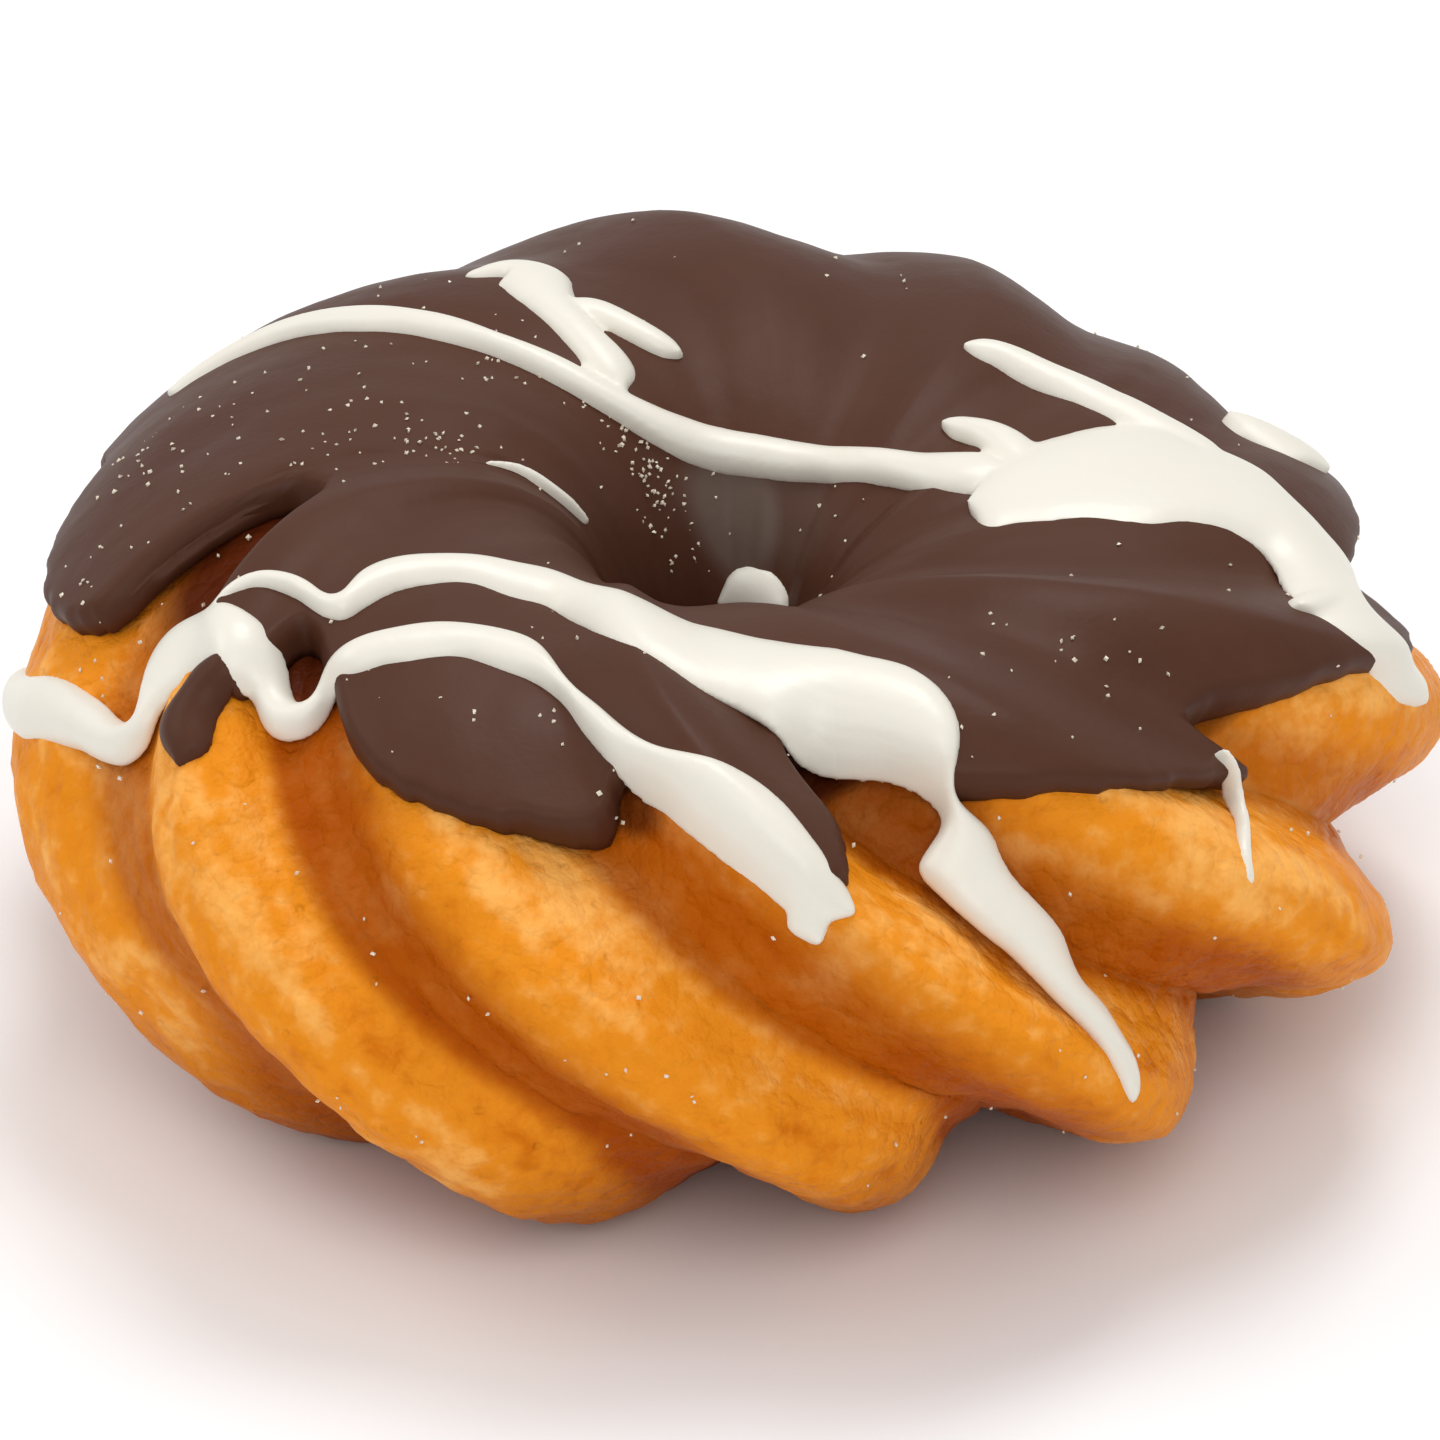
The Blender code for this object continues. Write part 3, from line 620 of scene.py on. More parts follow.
def relief(tree, depth, grain, bubbles, pits):
    """Normals of grain, bubbles and pits, each given as (size in millimetres, strength).

    The depth is in metres for a strength of 1.
    """
    values = {
        "Grain Size": grain[0], "Grain": grain[1], "Bubble Size": bubbles[0],
        "Bubbles": bubbles[1], "Pit Size": pits[0], "Pits": pits[1],
    }
    height = shared_group(tree, "fine_relief", relief_group, values)
    sockets = {"Height": height, "Distance": depth}
    return add_node(tree, "ShaderNodeBump", sockets).outputs["Normal"]


def food_material(name):
    """A new material, its node tree and its shader."""
    material = bpy.data.materials.new(name)
    material.use_nodes = True
    tree = material.node_tree
    return material, tree, tree.nodes["Principled BSDF"]


def set_shader(tree, shader, **values):
    """Sets or links the shader's sockets, each given by its name with _ for a space."""
    for name, value in values.items():
        socket = shader.inputs[name.replace("_", " ")]
        if isinstance(value, bpy.types.NodeSocket):
            tree.links.new(value, socket)
        else:
            socket.default_value = value


def uneven(tree, tone, roughness, smoother, duller):
    """Roughness that is that much smoother where the tone is low and duller where it is high."""
    return remap(tree, tone, 0.0, 1.0, roughness - smoother, roughness + duller)


# ------------------------------------------------ materials


# How much of the choux's tone is streaks along the flutes; the rest is mottle
STREAKS_IN_TONE = 0.5
# From which tone to which one colour of the crust gives way to the next
DEEP_TO_GOLDEN = (0.2, 0.5)
GOLDEN_TO_PALE = (0.5, 0.78)
# Share of the shade that the palest patches take on
SHADE_ON_PALE = 0.8


def choux_material(look):
    """Golden and paler in patches, deep orange on shaded sides, darker underneath as painted shade,
    and stained where chocolate ran, painted darker still as shade in deep valleys.
    """
    material, tree, shader = food_material("fried_choux")
    tone = mottle(tree, broad=6.0, fine=1.3, fine_share=0.45, contrast=1.7)
    tone = mix_values(tree, STREAKS_IN_TONE, tone, surface_value(tree, "streak"))
    golden = remap(tree, tone, *DEEP_TO_GOLDEN)
    colour = mix_colours(tree, golden, opaque(look.deep), opaque(look.golden))
    colour = mix_colours(tree, remap(tree, tone, *GOLDEN_TO_PALE), colour, opaque(look.pale))
    shaded = calculate(tree, "MULTIPLY", surface_value(tree, "shaded"), look.shade_strength)
    shaded = calculate(tree, "MULTIPLY", shaded, remap(tree, tone, 0.0, 1.0, 1.0, SHADE_ON_PALE))
    colour = mix_colours(tree, shaded, colour, opaque(look.shade))
    # Painted shade: the underside darker
    colour = mix_colours(tree, surface_value(tree, "browned"), colour, opaque(look.browned))
    # Chocolate stains, painted darker still as shade in deep valleys and under the icing
    colour = mix_colours(tree, surface_value(tree, "smeared"), colour, opaque(look.smear))
    set_shader(
        tree, shader, Base_Color=colour, Specular_IOR_Level=0.035,
        Roughness=uneven(tree, tone, look.roughness, smoother=0.08, duller=0.1),
        Normal=relief(
            tree, look.crumb_depth, grain=(0.5, 0.6), bubbles=(1.3, 0.9), pits=(2.6, 0.5)
        ),
    )
    return material


def chocolate_material(look):
    """Dark set chocolate with a soft, uneven shine, and a painted sheen that greys it in the hole.
    """
    material, tree, shader = food_material("chocolate_coat")
    tone = mottle(tree, broad=9.0, fine=1.2, fine_share=0.3, contrast=1.3)
    colour = mix_colours(tree, tone, opaque(look.dark), opaque(look.milky))
    # Painted sheen: greyer chocolate on the hole's wall
    colour = mix_colours(tree, surface_value(tree, "dusted"), colour, opaque(look.hole_sheen_colour))
    set_shader(
        tree, shader, Base_Color=colour, Specular_IOR_Level=0.15,
        Roughness=uneven(tree, tone, look.roughness, smoother=0.06, duller=0.08),
        Normal=relief(
            tree, look.surface_depth, grain=(0.6, 0.35), bubbles=(2.4, 0.35), pits=(3.5, 0.15)
        ),
    )
    return material


def icing_material(look):
    """Thick white icing with a slight cream tone and a soft shine."""
    material, tree, shader = food_material("white_icing")
    tone = mottle(tree, broad=5.0, fine=1.0, fine_share=0.3, contrast=1.2)
    colour = mix_colours(tree, tone, opaque(look.white), opaque(look.cream))
    set_shader(
        tree, shader, Base_Color=colour,
        Roughness=uneven(tree, tone, look.roughness, smoother=0.05, duller=0.08),
        Normal=relief(
            tree, look.surface_depth, grain=(0.5, 0.2), bubbles=(1.8, 0.5), pits=(4.0, 0.1)
        ),
    )
    return material


def sugar_material(look):
    """Clear-edged grains that catch the light."""
    material, tree, shader = food_material("sugar_glint")
    tone = mottle(tree, broad=0.6, fine=0.15, fine_share=0.4, contrast=1.5)
    colour = mix_colours(tree, tone, opaque(look.colour), opaque(look.bright))
    roughness = uneven(tree, tone, look.roughness, smoother=0.0, duller=0.18)
    set_shader(tree, shader, Base_Color=colour, Roughness=roughness)
    return material


FLOOR_TONE = 0.985
FLOOR_DEPTH = 0.02 * MM


def floor_material(look):
    """A pale, matt floor with the faintest of mottling."""
    material, tree, shader = food_material("pale_floor")
    tone = mottle(tree, broad=60.0, fine=6.0, fine_share=0.3, contrast=0.6)
    dimmer = [FLOOR_TONE * value for value in look.floor]
    set_shader(
        tree, shader, Base_Color=mix_colours(tree, tone, opaque(look.floor), opaque(dimmer)),
        Roughness=uneven(tree, tone, look.roughness, smoother=0.05, duller=0.05),
        Normal=relief(tree, FLOOR_DEPTH, grain=(0.8, 0.2), bubbles=(5.0, 0.1), pits=(9.0, 0.0)),
    )
    return material


# ------------------------------------------------ sizes and colours that a user would change


def colour_setting(name, description, default):
    return FloatVectorProperty(
        name=name, description=description, default=default, subtype="COLOR", size=3, min=0.0,
        max=1.0,
    )


def length_setting(name, description, default_mm):
    return FloatProperty(
        name=name, description=description, default=default_mm * MM, min=0.0, unit="LENGTH",
        precision=5,
    )


def share_setting(name, description, default):
    return FloatProperty(
        name=name, description=description, default=default, min=0.0, max=1.0, subtype="FACTOR"
    )


def power_setting(name, description, default):
    return FloatProperty(
        name=name, description=description, default=default, min=0.0, unit="POWER"
    )


def count_setting(name, description, default):
    return IntProperty(name=name, description=description, default=default, min=0)


class ChouxLook(bpy.types.PropertyGroup):
    pale: colour_setting("Pale crust", "Colour of the least browned crust", (0.94, 0.44, 0.10))
    golden: colour_setting("Golden crust", "Colour of most of the crust", (0.80, 0.262, 0.013))
    deep: colour_setting("Deep crust", "Colour of the crust's dark streaks", (0.61, 0.15, 0.002))
    shade: colour_setting("Shaded side", "Colour in and beside the valleys", (0.36, 0.058, 0.0003))
    # Painted shade: the colour that darkens the underside
    browned: colour_setting("Browned", "Colour of the most fried spots", (0.27, 0.048, 0.001))
    # Chocolate stains, dark enough to paint the shade in deep valleys and under the icing too
    smear: colour_setting("Smear", "Colour of chocolate stains on it", (0.085, 0.0145, 0.003))
    shade_strength: share_setting("Shade strength", "How strong the shaded side's colour is", 1.0)
    roughness: share_setting("Roughness", "How dull the crust is", 0.36)
    swell: length_setting("Swell", "Height of the broad unevenness of the flutes", 0.35)
    lumps: length_setting("Lumps", "Height of the small lumps", 0.28)
    scoop: length_setting("Scoop", "How far the sides of the valleys are scooped out", 0.65)
    streaks: length_setting("Streaks", "Height of the ridges drawn out along the flutes", 0.2)
    crumb: length_setting("Crumb", "Height of the finest unevenness that the mesh holds", 0.12)
    crumb_depth: length_setting("Fine crumb", "Depth of the relief finer than the mesh", 0.26)
    blisters: count_setting("Blisters", "Number of small blisters on the crust", 420)


class ChocolateLook(bpy.types.PropertyGroup):
    dark: colour_setting("Dark", "Colour of the chocolate", (0.066, 0.0215, 0.0105))
    milky: colour_setting("Milky", "Colour of its paler patches", (0.083, 0.030, 0.0155))
    # Painted sheen: the paler grey on the chocolate in the hole stands in for reflected light
    hole_sheen_colour: colour_setting("Dusty", "Colour under fine sugar in the hole", (0.125, 0.085, 0.066))
    roughness: share_setting("Roughness", "How dull the chocolate is", 0.45)
    swell: length_setting("Swell", "Height of the unevenness of the coat", 0.12)
    grooves: length_setting("Grooves", "Depth of the faint grooves along the flutes", 0.12)
    drip_height: length_setting("Drip height", "Height of the drip that hangs from the coat", 1.3)
    surface_depth: length_setting("Surface", "Depth of the relief finer than the mesh", 0.05)


class IcingLook(bpy.types.PropertyGroup):
    white: colour_setting("White", "Colour of the icing", (0.795, 0.765, 0.68))
    cream: colour_setting("Cream", "Colour of its warmer patches", (0.775, 0.73, 0.63))
    roughness: share_setting("Roughness", "How dull the icing is", 0.35)
    height: length_setting("Height", "Height of a piped stroke above what it lies on", 0.95)
    voxel: length_setting("Cell", "Size of the cells that melt the strokes together", 0.22)
    surface_depth: length_setting("Surface", "Depth of the relief finer than the mesh", 0.05)


class SugarLook(bpy.types.PropertyGroup):
    colour: colour_setting("Colour", "Colour of the grains", (0.62, 0.52, 0.38))
    bright: colour_setting("Bright", "Colour of their brightest spots", (0.86, 0.80, 0.68))
    roughness: share_setting("Roughness", "How dull the shiniest spots are", 0.12)
    grains: count_setting("Grains", "Number of sugar grains on the chocolate", 340)
    on_choux: count_setting("On the choux", "Number of grains on the bare choux", 180)
    size: length_setting("Size", "Half width of the largest grains", 0.23)


class StageLook(bpy.types.PropertyGroup):
    floor: colour_setting("Floor", "Colour of the floor", (0.95, 0.965, 0.975))
    roughness: share_setting("Roughness", "How dull the floor is", 0.6)
    surround: FloatProperty(
        name="Surround", description="Strength of the light from all around", default=0.64, min=0.0
    )
    overhead: power_setting("Overhead", "Power of the soft light overhead", 1.75)
    side: power_setting("Side", "Power of the soft light at the left", 0.7)
    front: power_setting("Front", "Power of the soft light in front", 1.2)


# ------------------------------------------------ the choux

CHOUX_COLUMNS_PER_FLUTE = 56
CHOUX_ROWS = 300
# How far inside its edge the chocolate has hidden all of the crust's unevenness
COVERED_FADE_DEG = 6.0
# Each noise is (size of its hills, seed)
SWELL_NOISE = (9.0 * MM, 1)
LUMP_NOISE = (3.2 * MM, 2)
CRUMB_NOISE = (1.2 * MM, 3)
RIDGE_NOISE = (2.0 * MM, 4)
BLISTER_SEED = 5
BLISTER_TUBES_DEG = (95, 250)
BLISTER_RADII = (0.5 * MM, 1.3 * MM)
BLISTER_HEIGHTS = (0.05 * MM, 0.20 * MM)
DENT_SHARE = 0.3
# The cylinder on which noise that runs along the flutes is read: radius, and rise for a degree
STREAK_RADIUS = 24.5 * MM
STREAK_RISE = 0.09 * MM
# Where the valleys are scooped out: in lanes from their middle, and round the strand
SCOOP_WINDOW_LANES = (0.0, 0.12, 0.14, 0.36)
SCOOP_WINDOW_DEG = (90.0, 130.0, 225.0, 262.0)
# (tube angle, how far the darkest line lies past the valley's middle, in lanes)
SHADE_SHIFT = ((120.0, 0.0), (150.0, 0.02), (185.0, 0.05), (230.0, -0.10))
# How far the dark reaches before and after each valley, in lanes, and how dark it is, from 0 to 1
SHADE_BEFORE = np.array((0.20, 0.20, 0.20, 0.20, 0.20, 0.20, 0.26, 0.18, 0.15, 0.15, 0.20))
SHADE_AFTER = np.array((0.32, 0.35, 0.35, 0.35, 0.35, 0.30, 0.16, 0.45, 0.56, 0.38, 0.26))
VALLEY_SHADE = np.array((0.9, 0.9, 0.9, 0.9, 0.9, 0.9, 0.8, 1.0, 0.9, 0.9, 0.6))
SHADE_PLATEAU = 1.5
SHADE_WINDOW_DEG = (20.0, 70.0, 270.0, 300.0)
# The tone of the streaks: its middle, and how much each noise adds
STREAK_MIDDLE = 0.5
STREAK_BROAD, BROAD_STREAK_NOISE = 0.35, (3.2 * MM, 6)
STREAK_FINE, FINE_STREAK_NOISE = 0.22, (1.1 * MM, 7)
STREAK_LUMPS = 0.25
# Paler just below the chocolate
PALE_RIM = 0.2
PALE_RIM_WINDOW_DEG = (100.0, 122.0, 145.0, 175.0)
# Painted shade: how dark the underside is painted, and the window where it isn't
UNDERSIDE_SHADE = 0.75
UNSHADED_WINDOW_DEG = (-70.0, -30.0, 192.0, 252.0)


def blister_heights(points, count):
    """Height that small blisters, and a few dents, add at each point."""
    random = np.random.default_rng(BLISTER_SEED)
    tree = tree_of(points)
    heights = np.zeros(len(points))
    lanes = random.uniform(0, FLUTES, count)
    centres = ring_point(lanes, random.uniform(*BLISTER_TUBES_DEG, count))
    radii = random.uniform(*BLISTER_RADII, count)
    tops = random.uniform(*BLISTER_HEIGHTS, count)
    tops *= np.where(random.random(count) < DENT_SHARE, -1.0, 1.0)
    for centre, radius, top in zip(centres, radii, tops):
        for _, i, away in tree.find_range(centre, radius):
            heights[i] += top * (1.0 - (away / radius) ** 2) ** 2
    return heights


def along_flutes(lane, tube):
    """Places for noise that is drawn out along the flutes."""
    turn = 2.0 * math.pi * lane / FLUTES
    x, y = STREAK_RADIUS * np.cos(turn), STREAK_RADIUS * np.sin(turn)
    return np.stack([x, y, STREAK_RISE * tube], axis=-1)


def shaded_side(lane, tube):
    """Near 1 in a valley, fading out over the sides of the flutes."""
    past = lane - keyed(SHADE_SHIFT, tube)
    nearest = np.round(past)
    valley = nearest.astype(int) % FLUTES
    after, before = (past - nearest) / SHADE_AFTER[valley], (nearest - past) / SHADE_BEFORE[valley]
    shade = smooth(SHADE_PLATEAU * (1.0 - np.maximum(after, before))) * VALLEY_SHADE[valley]
    return shade * window(tube, SHADE_WINDOW_DEG)


def scoop(lane, tube):
    """1 beside the middle of each valley, where it is scooped wider."""
    beside = window(np.abs(lane - np.round(lane)), SCOOP_WINDOW_LANES)
    return beside * window(tube, SCOOP_WINDOW_DEG)


def lanes_apart(lane, centre):
    """How far a lane is from a centre, the short way round the ring."""
    return np.mod(lane - centre + 0.5 * FLUTES, FLUTES) - 0.5 * FLUTES


def blotches(lane, tube, places):
    """Soft-edged blotches: (lane, tube angle, half width in lanes, in degrees, share) of each."""
    share = np.zeros(lane.shape)
    for centre, angle, half_lanes, half_deg, darkest in places:
        away = np.hypot(lanes_apart(lane, centre) / half_lanes, (tube - angle) / half_deg)
        share = np.maximum(share, darkest * smooth(2.0 - 2.0 * away))
    return share


def make_choux(look):
    """The ring itself. Its last row meets the first four flutes further round."""
    columns = FLUTES * CHOUX_COLUMNS_PER_FLUTE
    tube, lane = np.meshgrid(
        -90.0 + 360.0 * np.arange(CHOUX_ROWS) / CHOUX_ROWS,
        np.arange(columns) / CHOUX_COLUMNS_PER_FLUTE,
        indexing="ij",
    )
    points = ring_point(lane, tube)
    facing = skin_directions(lane, tube)[2]
    flow = along_flutes(lane, tube)
    inner, outer = coat_edges(lane)
    bare = 1.0 - smooth(np.minimum(tube - inner, outer - tube) / COVERED_FADE_DEG)
    height = look.swell * soft_noise(points, *SWELL_NOISE)
    height += look.lumps * soft_noise(points, *LUMP_NOISE)
    height += look.streaks * soft_noise(flow, *RIDGE_NOISE)
    height += look.crumb * soft_noise(points, *CRUMB_NOISE)
    height += blister_heights(points.reshape(-1, 3), look.blisters).reshape(height.shape)
    height = height * bare - look.scoop * scoop(lane, tube)
    points = points + facing * height[..., None]
    points[..., 2] = np.maximum(points[..., 2], 0.0)
    streak = STREAK_MIDDLE + STREAK_BROAD * soft_noise(flow, *BROAD_STREAK_NOISE)
    streak += STREAK_FINE * soft_noise(flow, *FINE_STREAK_NOISE)
    streak += STREAK_LUMPS * soft_noise(points, *LUMP_NOISE)
    streak += PALE_RIM * window(tube, PALE_RIM_WINDOW_DEG)
    faces = grid_faces(CHOUX_ROWS, columns, True, LOBES_IN_SECTION * CHOUX_COLUMNS_PER_FLUTE)
    return new_piece(
        "choux_ring", points, faces, choux_material(look),
        shaded=shaded_side(lane, tube),
        # Painted shade underneath
        browned=UNDERSIDE_SHADE * (1.0 - window(tube, UNSHADED_WINDOW_DEG)),
        # Chocolate stains, painted darker still as shade in deep valleys and under the icing
        smeared=blotches(lane, tube, STAINS_AND_SHADE),
        streak=np.clip(streak, 0.0, 1.0),
    )


# ------------------------------------------------ the chocolate

COAT_COLUMNS_PER_FLUTE = 64
COAT_MIDDLE_ROWS = 96
COAT_LIP_ROWS = 7
COAT_LIP_DEG = 3.0
COAT_UNDER_ROWS = 16
COAT_SINK = 0.25 * MM
COAT_BROAD_NOISE = (7.0 * MM, 21)
COAT_FINE, COAT_FINE_NOISE = 0.35, (2.2 * MM, 22)
GROOVE_NOISE = (3.0 * MM, 23)


def make_chocolate(look):
    """The coat: over the top from the hole to the outer edge, then back inside the choux."""
    lane = np.arange(FLUTES * COAT_COLUMNS_PER_FLUTE) / COAT_COLUMNS_PER_FLUTE
    inner, outer = coat_edges(lane)
    lip = COAT_LIP_DEG * (1.0 - np.cos(np.linspace(0.0, 0.5 * math.pi, COAT_LIP_ROWS)))
    middle = np.linspace(0.0, 1.0, COAT_MIDDLE_ROWS)[1:-1, None]
    start, stop = inner + COAT_LIP_DEG, outer - COAT_LIP_DEG
    over = np.concatenate(
        [inner + lip[:, None], start + (stop - start) * middle, outer - lip[::-1, None]]
    )
    under = outer + (inner - outer) * np.linspace(0.0, 1.0, COAT_UNDER_ROWS)[1:-1, None]
    lanes = np.broadcast_to(lane, over.shape)
    top = coat_top(lanes, over)
    swell = soft_noise(top, *COAT_BROAD_NOISE) + COAT_FINE * soft_noise(top, *COAT_FINE_NOISE)
    swell = look.swell * swell
    swell += look.grooves * soft_noise(along_flutes(lanes, over), *GROOVE_NOISE)
    facing = skin_directions(lanes, over)[2]
    top = top + facing * (swell * coat_share(lanes, over))[..., None]
    bed = ring_point(np.broadcast_to(lane, under.shape), under, 0.0, -COAT_SINK)
    points = np.concatenate([top, bed])
    faces = grid_faces(len(points), len(lane), True)[:, ::-1]
    all_lanes, all_tubes = np.broadcast_to(lane, points.shape[:2]), np.concatenate([over, under])
    # Painted sheen on the chocolate in the hole
    dusted = blotches(all_lanes, all_tubes, HOLE_SHEEN)
    return new_piece("chocolate_coat", points, faces, chocolate_material(look), dusted=dusted)


# ------------------------------------------------ the icing

# A stroke is laid as slices, this far apart and with this many steps from side to side
ICING_STEP = 0.5 * MM
ICING_LEAST_SLICES = 4
ICING_SIDE_STEPS = 14
# A narrow stroke rises by this share of its half width at most
ICING_HEIGHT_TO_HALF_WIDTH = 0.8
# How far a stroke is sunk into what it lies on, and its most depth from top to bottom
ICING_SINK = 0.5 * MM
ICING_MOST_DEPTH = 1.85 * MM
# Share of the depth that is left at the sides, so that the edge is blunt
ICING_EDGE = 0.3
# How softly the icing bridges the creases of what it lies on
ICING_BRIDGING = 0.7
# The width wobbles by this share, and each stroke spreads out by this much as it settles
ICING_WIDTH_WOBBLE = 0.05
ICING_WOBBLE_NOISE = (2.5 * MM, 31)
ICING_SPREAD = 0.08 * MM
# The ends are rounded over this length at most, down to a fifth of the width (the share's root)
ICING_END_LENGTH = 1.2 * MM
ICING_END_SHARE = 0.04
# Rounds of evening out: of the middle line, of the top along and across the stroke, of the
# depth, and of the melted mesh
ICING_STRAIGHTEN_ROUNDS = 5
ICING_LEVEL_ROUNDS = 8
ICING_LEVEL_ROUNDS_ACROSS = 12
ICING_BED_ROUNDS = 14
ICING_SMOOTH_ROUNDS = 10
SETTLE_ROUNDS = 3


def even_skin(lane, tube):
    """Points of the ring with its valleys filled in, which the icing runs along."""
    return ring_point(lane, tube, 1.0, 0.0, ICING_BRIDGING)


def straightened(places, rounds):
    """Rows of points evened out from row to row, the first and last kept."""
    places = places.copy()
    for _ in range(rounds):
        places[1:-1] = 0.25 * places[:-2] + 0.5 * places[1:-1] + 0.25 * places[2:]
    return places


def levelled(rows, rounds):
    """Rows of heights evened out, the first and last too."""
    for _ in range(rounds):
        before = np.concatenate([rows[:1], rows[:-1]])
        after = np.concatenate([rows[1:], rows[-1:]])
        rows = 0.25 * before + 0.5 * rows + 0.25 * after
    return rows


def settled(lane, tube, targets):
    """Lane and tube angle of the skin nearest to each target, from a first guess."""

    def dot(a, b):
        return np.sum(a * b, axis=-1)

    for _ in range(SETTLE_ROUNDS):
        move = targets - even_skin(lane, tube)
        along_lane, along_tube, _ = skin_directions(lane, tube, even_skin)
        lane_lane, lane_tube = dot(along_lane, along_lane), dot(along_lane, along_tube)
        tube_tube = dot(along_tube, along_tube)
        move_lane, move_tube = dot(move, along_lane), dot(move, along_tube)
        size = lane_lane * tube_tube - lane_tube * lane_tube
        lane = lane + (move_lane * tube_tube - move_tube * lane_tube) / size
        tube = tube + (move_tube * lane_lane - move_lane * lane_tube) / size
    return lane, tube


def stroke_stations(stroke):
    """The stroke's columns about one step apart, on a smooth curve."""
    keys = np.array(stroke, float)
    middle = keys[:, :2] if keys.shape[1] == 3 else 0.5 * (keys[:, :2] + keys[:, 2:])
    places = even_skin(middle[:, 0], middle[:, 1])
    along = np.concatenate([[0.0], np.cumsum(np.linalg.norm(np.diff(places, axis=0), axis=1))])
    count = max(ICING_LEAST_SLICES, round(along[-1] / ICING_STEP))
    steps = np.linspace(0.0, along[-1], count)
    return [flowing(np.stack([along, column], axis=1), steps) for column in keys.T]


def stroke_edges(stroke):
    """Lane and tube angle along both edges of a stroke."""
    columns = stroke_stations(stroke)
    if len(columns) == 3:
        lane, tube, half_width = columns
        middle = straightened(even_skin(lane, tube), ICING_STRAIGHTEN_ROUNDS)
        side = np.cross(np.gradient(middle, axis=0), skin_directions(lane, tube, even_skin)[2])
        side *= half_width[:, None] * MM / np.linalg.norm(side, axis=1, keepdims=True)
        return settled(lane, tube, middle - side), settled(lane, tube, middle + side)
    return [
        settled(lane, tube, straightened(even_skin(lane, tube), ICING_STRAIGHTEN_ROUNDS))
        for lane, tube in (columns[:2], columns[2:])
    ]


def dome_sections(stroke, height):
    """Slices across a stroke: a dome above what it lies on, and a bed sunk into it."""
    (first_lane, first_tube), (last_lane, last_tube) = stroke_edges(stroke)
    lane, tube = 0.5 * (first_lane + last_lane), 0.5 * (first_tube + last_tube)
    apart = even_skin(first_lane, first_tube) - even_skin(last_lane, last_tube)
    half_width = 0.5 * np.linalg.norm(apart, axis=1)
    wobble = soft_noise(ring_point(lane, tube), *ICING_WOBBLE_NOISE)
    spread = 1.0 + ICING_WIDTH_WOBBLE * wobble
    spread += ICING_SPREAD / np.maximum(half_width, ICING_SPREAD)
    ends = np.minimum(np.arange(len(lane)), np.arange(len(lane))[::-1]) * ICING_STEP
    narrowing = np.clip(half_width, ICING_SPREAD, ICING_END_LENGTH)
    spread *= np.sqrt(np.clip(ends / narrowing, ICING_END_SHARE, 1.0))
    rise = np.minimum(height, ICING_HEIGHT_TO_HALF_WIDTH * half_width * spread)
    share = -np.cos(np.pi * np.arange(ICING_SIDE_STEPS + 1) / ICING_SIDE_STEPS)
    lanes = lane[:, None] + (0.5 * (last_lane - first_lane) * spread)[:, None] * share
    tubes = tube[:, None] + (0.5 * (last_tube - first_tube) * spread)[:, None] * share
    dome = np.maximum(ICING_EDGE, np.sqrt(np.maximum(0.0, 1.0 - share**2)))
    bed = coat_top(lanes, tubes, -ICING_SINK)
    even = even_skin(lanes, tubes)
    above = coat_top(lanes, tubes, rise[:, None], ICING_BRIDGING) - even
    above = levelled(above, ICING_LEVEL_ROUNDS)
    across = levelled(np.swapaxes(above, 0, 1), ICING_LEVEL_ROUNDS_ACROSS)
    crown = even + np.swapaxes(across, 0, 1)
    depth = straightened(crown - bed, ICING_BED_ROUNDS)
    deepest = np.linalg.norm(depth, axis=-1, keepdims=True)
    bed = crown - depth * np.minimum(1.0, ICING_MOST_DEPTH / deepest)
    over = bed + (crown - bed) * dome[:, None]
    return np.concatenate([over, bed[:, -2:0:-1]], axis=1)


def stroke_mesh(sections):
    """Corners and faces of a closed stroke, its ends capped."""
    count, around = sections.shape[:2]
    faces = grid_faces(count, around).tolist()
    faces.append(list(range(around))[::-1])
    faces.append(list(range((count - 1) * around, count * around)))
    return sections.reshape(-1, 3), faces


def melt_together(name, strokes, height, material, voxel):
    """One smooth piece out of overlapping strokes."""
    points, faces, first = [], [], 0
    for stroke in strokes:
        corners, stroke_faces = stroke_mesh(dome_sections(stroke, height))
        points.append(corners)
        faces += [[first + i for i in face] for face in stroke_faces]
        first += len(corners)
    piece = new_piece(name, np.concatenate(points), faces, material)
    remesh = piece.modifiers.new("melt", "REMESH")
    remesh.mode = "VOXEL"
    remesh.voxel_size = voxel
    remesh.use_smooth_shade = True
    soften = piece.modifiers.new("soften", "SMOOTH")
    soften.factor = 0.5
    soften.iterations = ICING_SMOOTH_ROUNDS
    apply_modifiers(piece)
    if not piece.data.materials:
        piece.data.materials.append(material)
    return piece


DRIP_CELLS_HIGH = 6.0


def make_drip(look):
    """The drip of chocolate that hangs from the coat's edge."""
    height, material = look.drip_height, chocolate_material(look)
    return melt_together("chocolate_drip", [DRIP], height, material, height / DRIP_CELLS_HIGH)


def make_icing(look):
    """All strokes and pools of icing."""
    return melt_together("white_icing", STROKES, look.height, icing_material(look), look.voxel)


# ------------------------------------------------ the sugar

SUGAR_SEED = 8
ON_CHOUX_TUBES_DEG = (100.0, 225.0)
GRAIN_LIFT = 0.02 * MM
GRAIN_SQUASH = 0.6
SMALLEST_GRAIN = 0.45
# The order of the corners round a grain; corner 4 is above them and 5 below
GRAIN_RING = (0, 2, 1, 3)


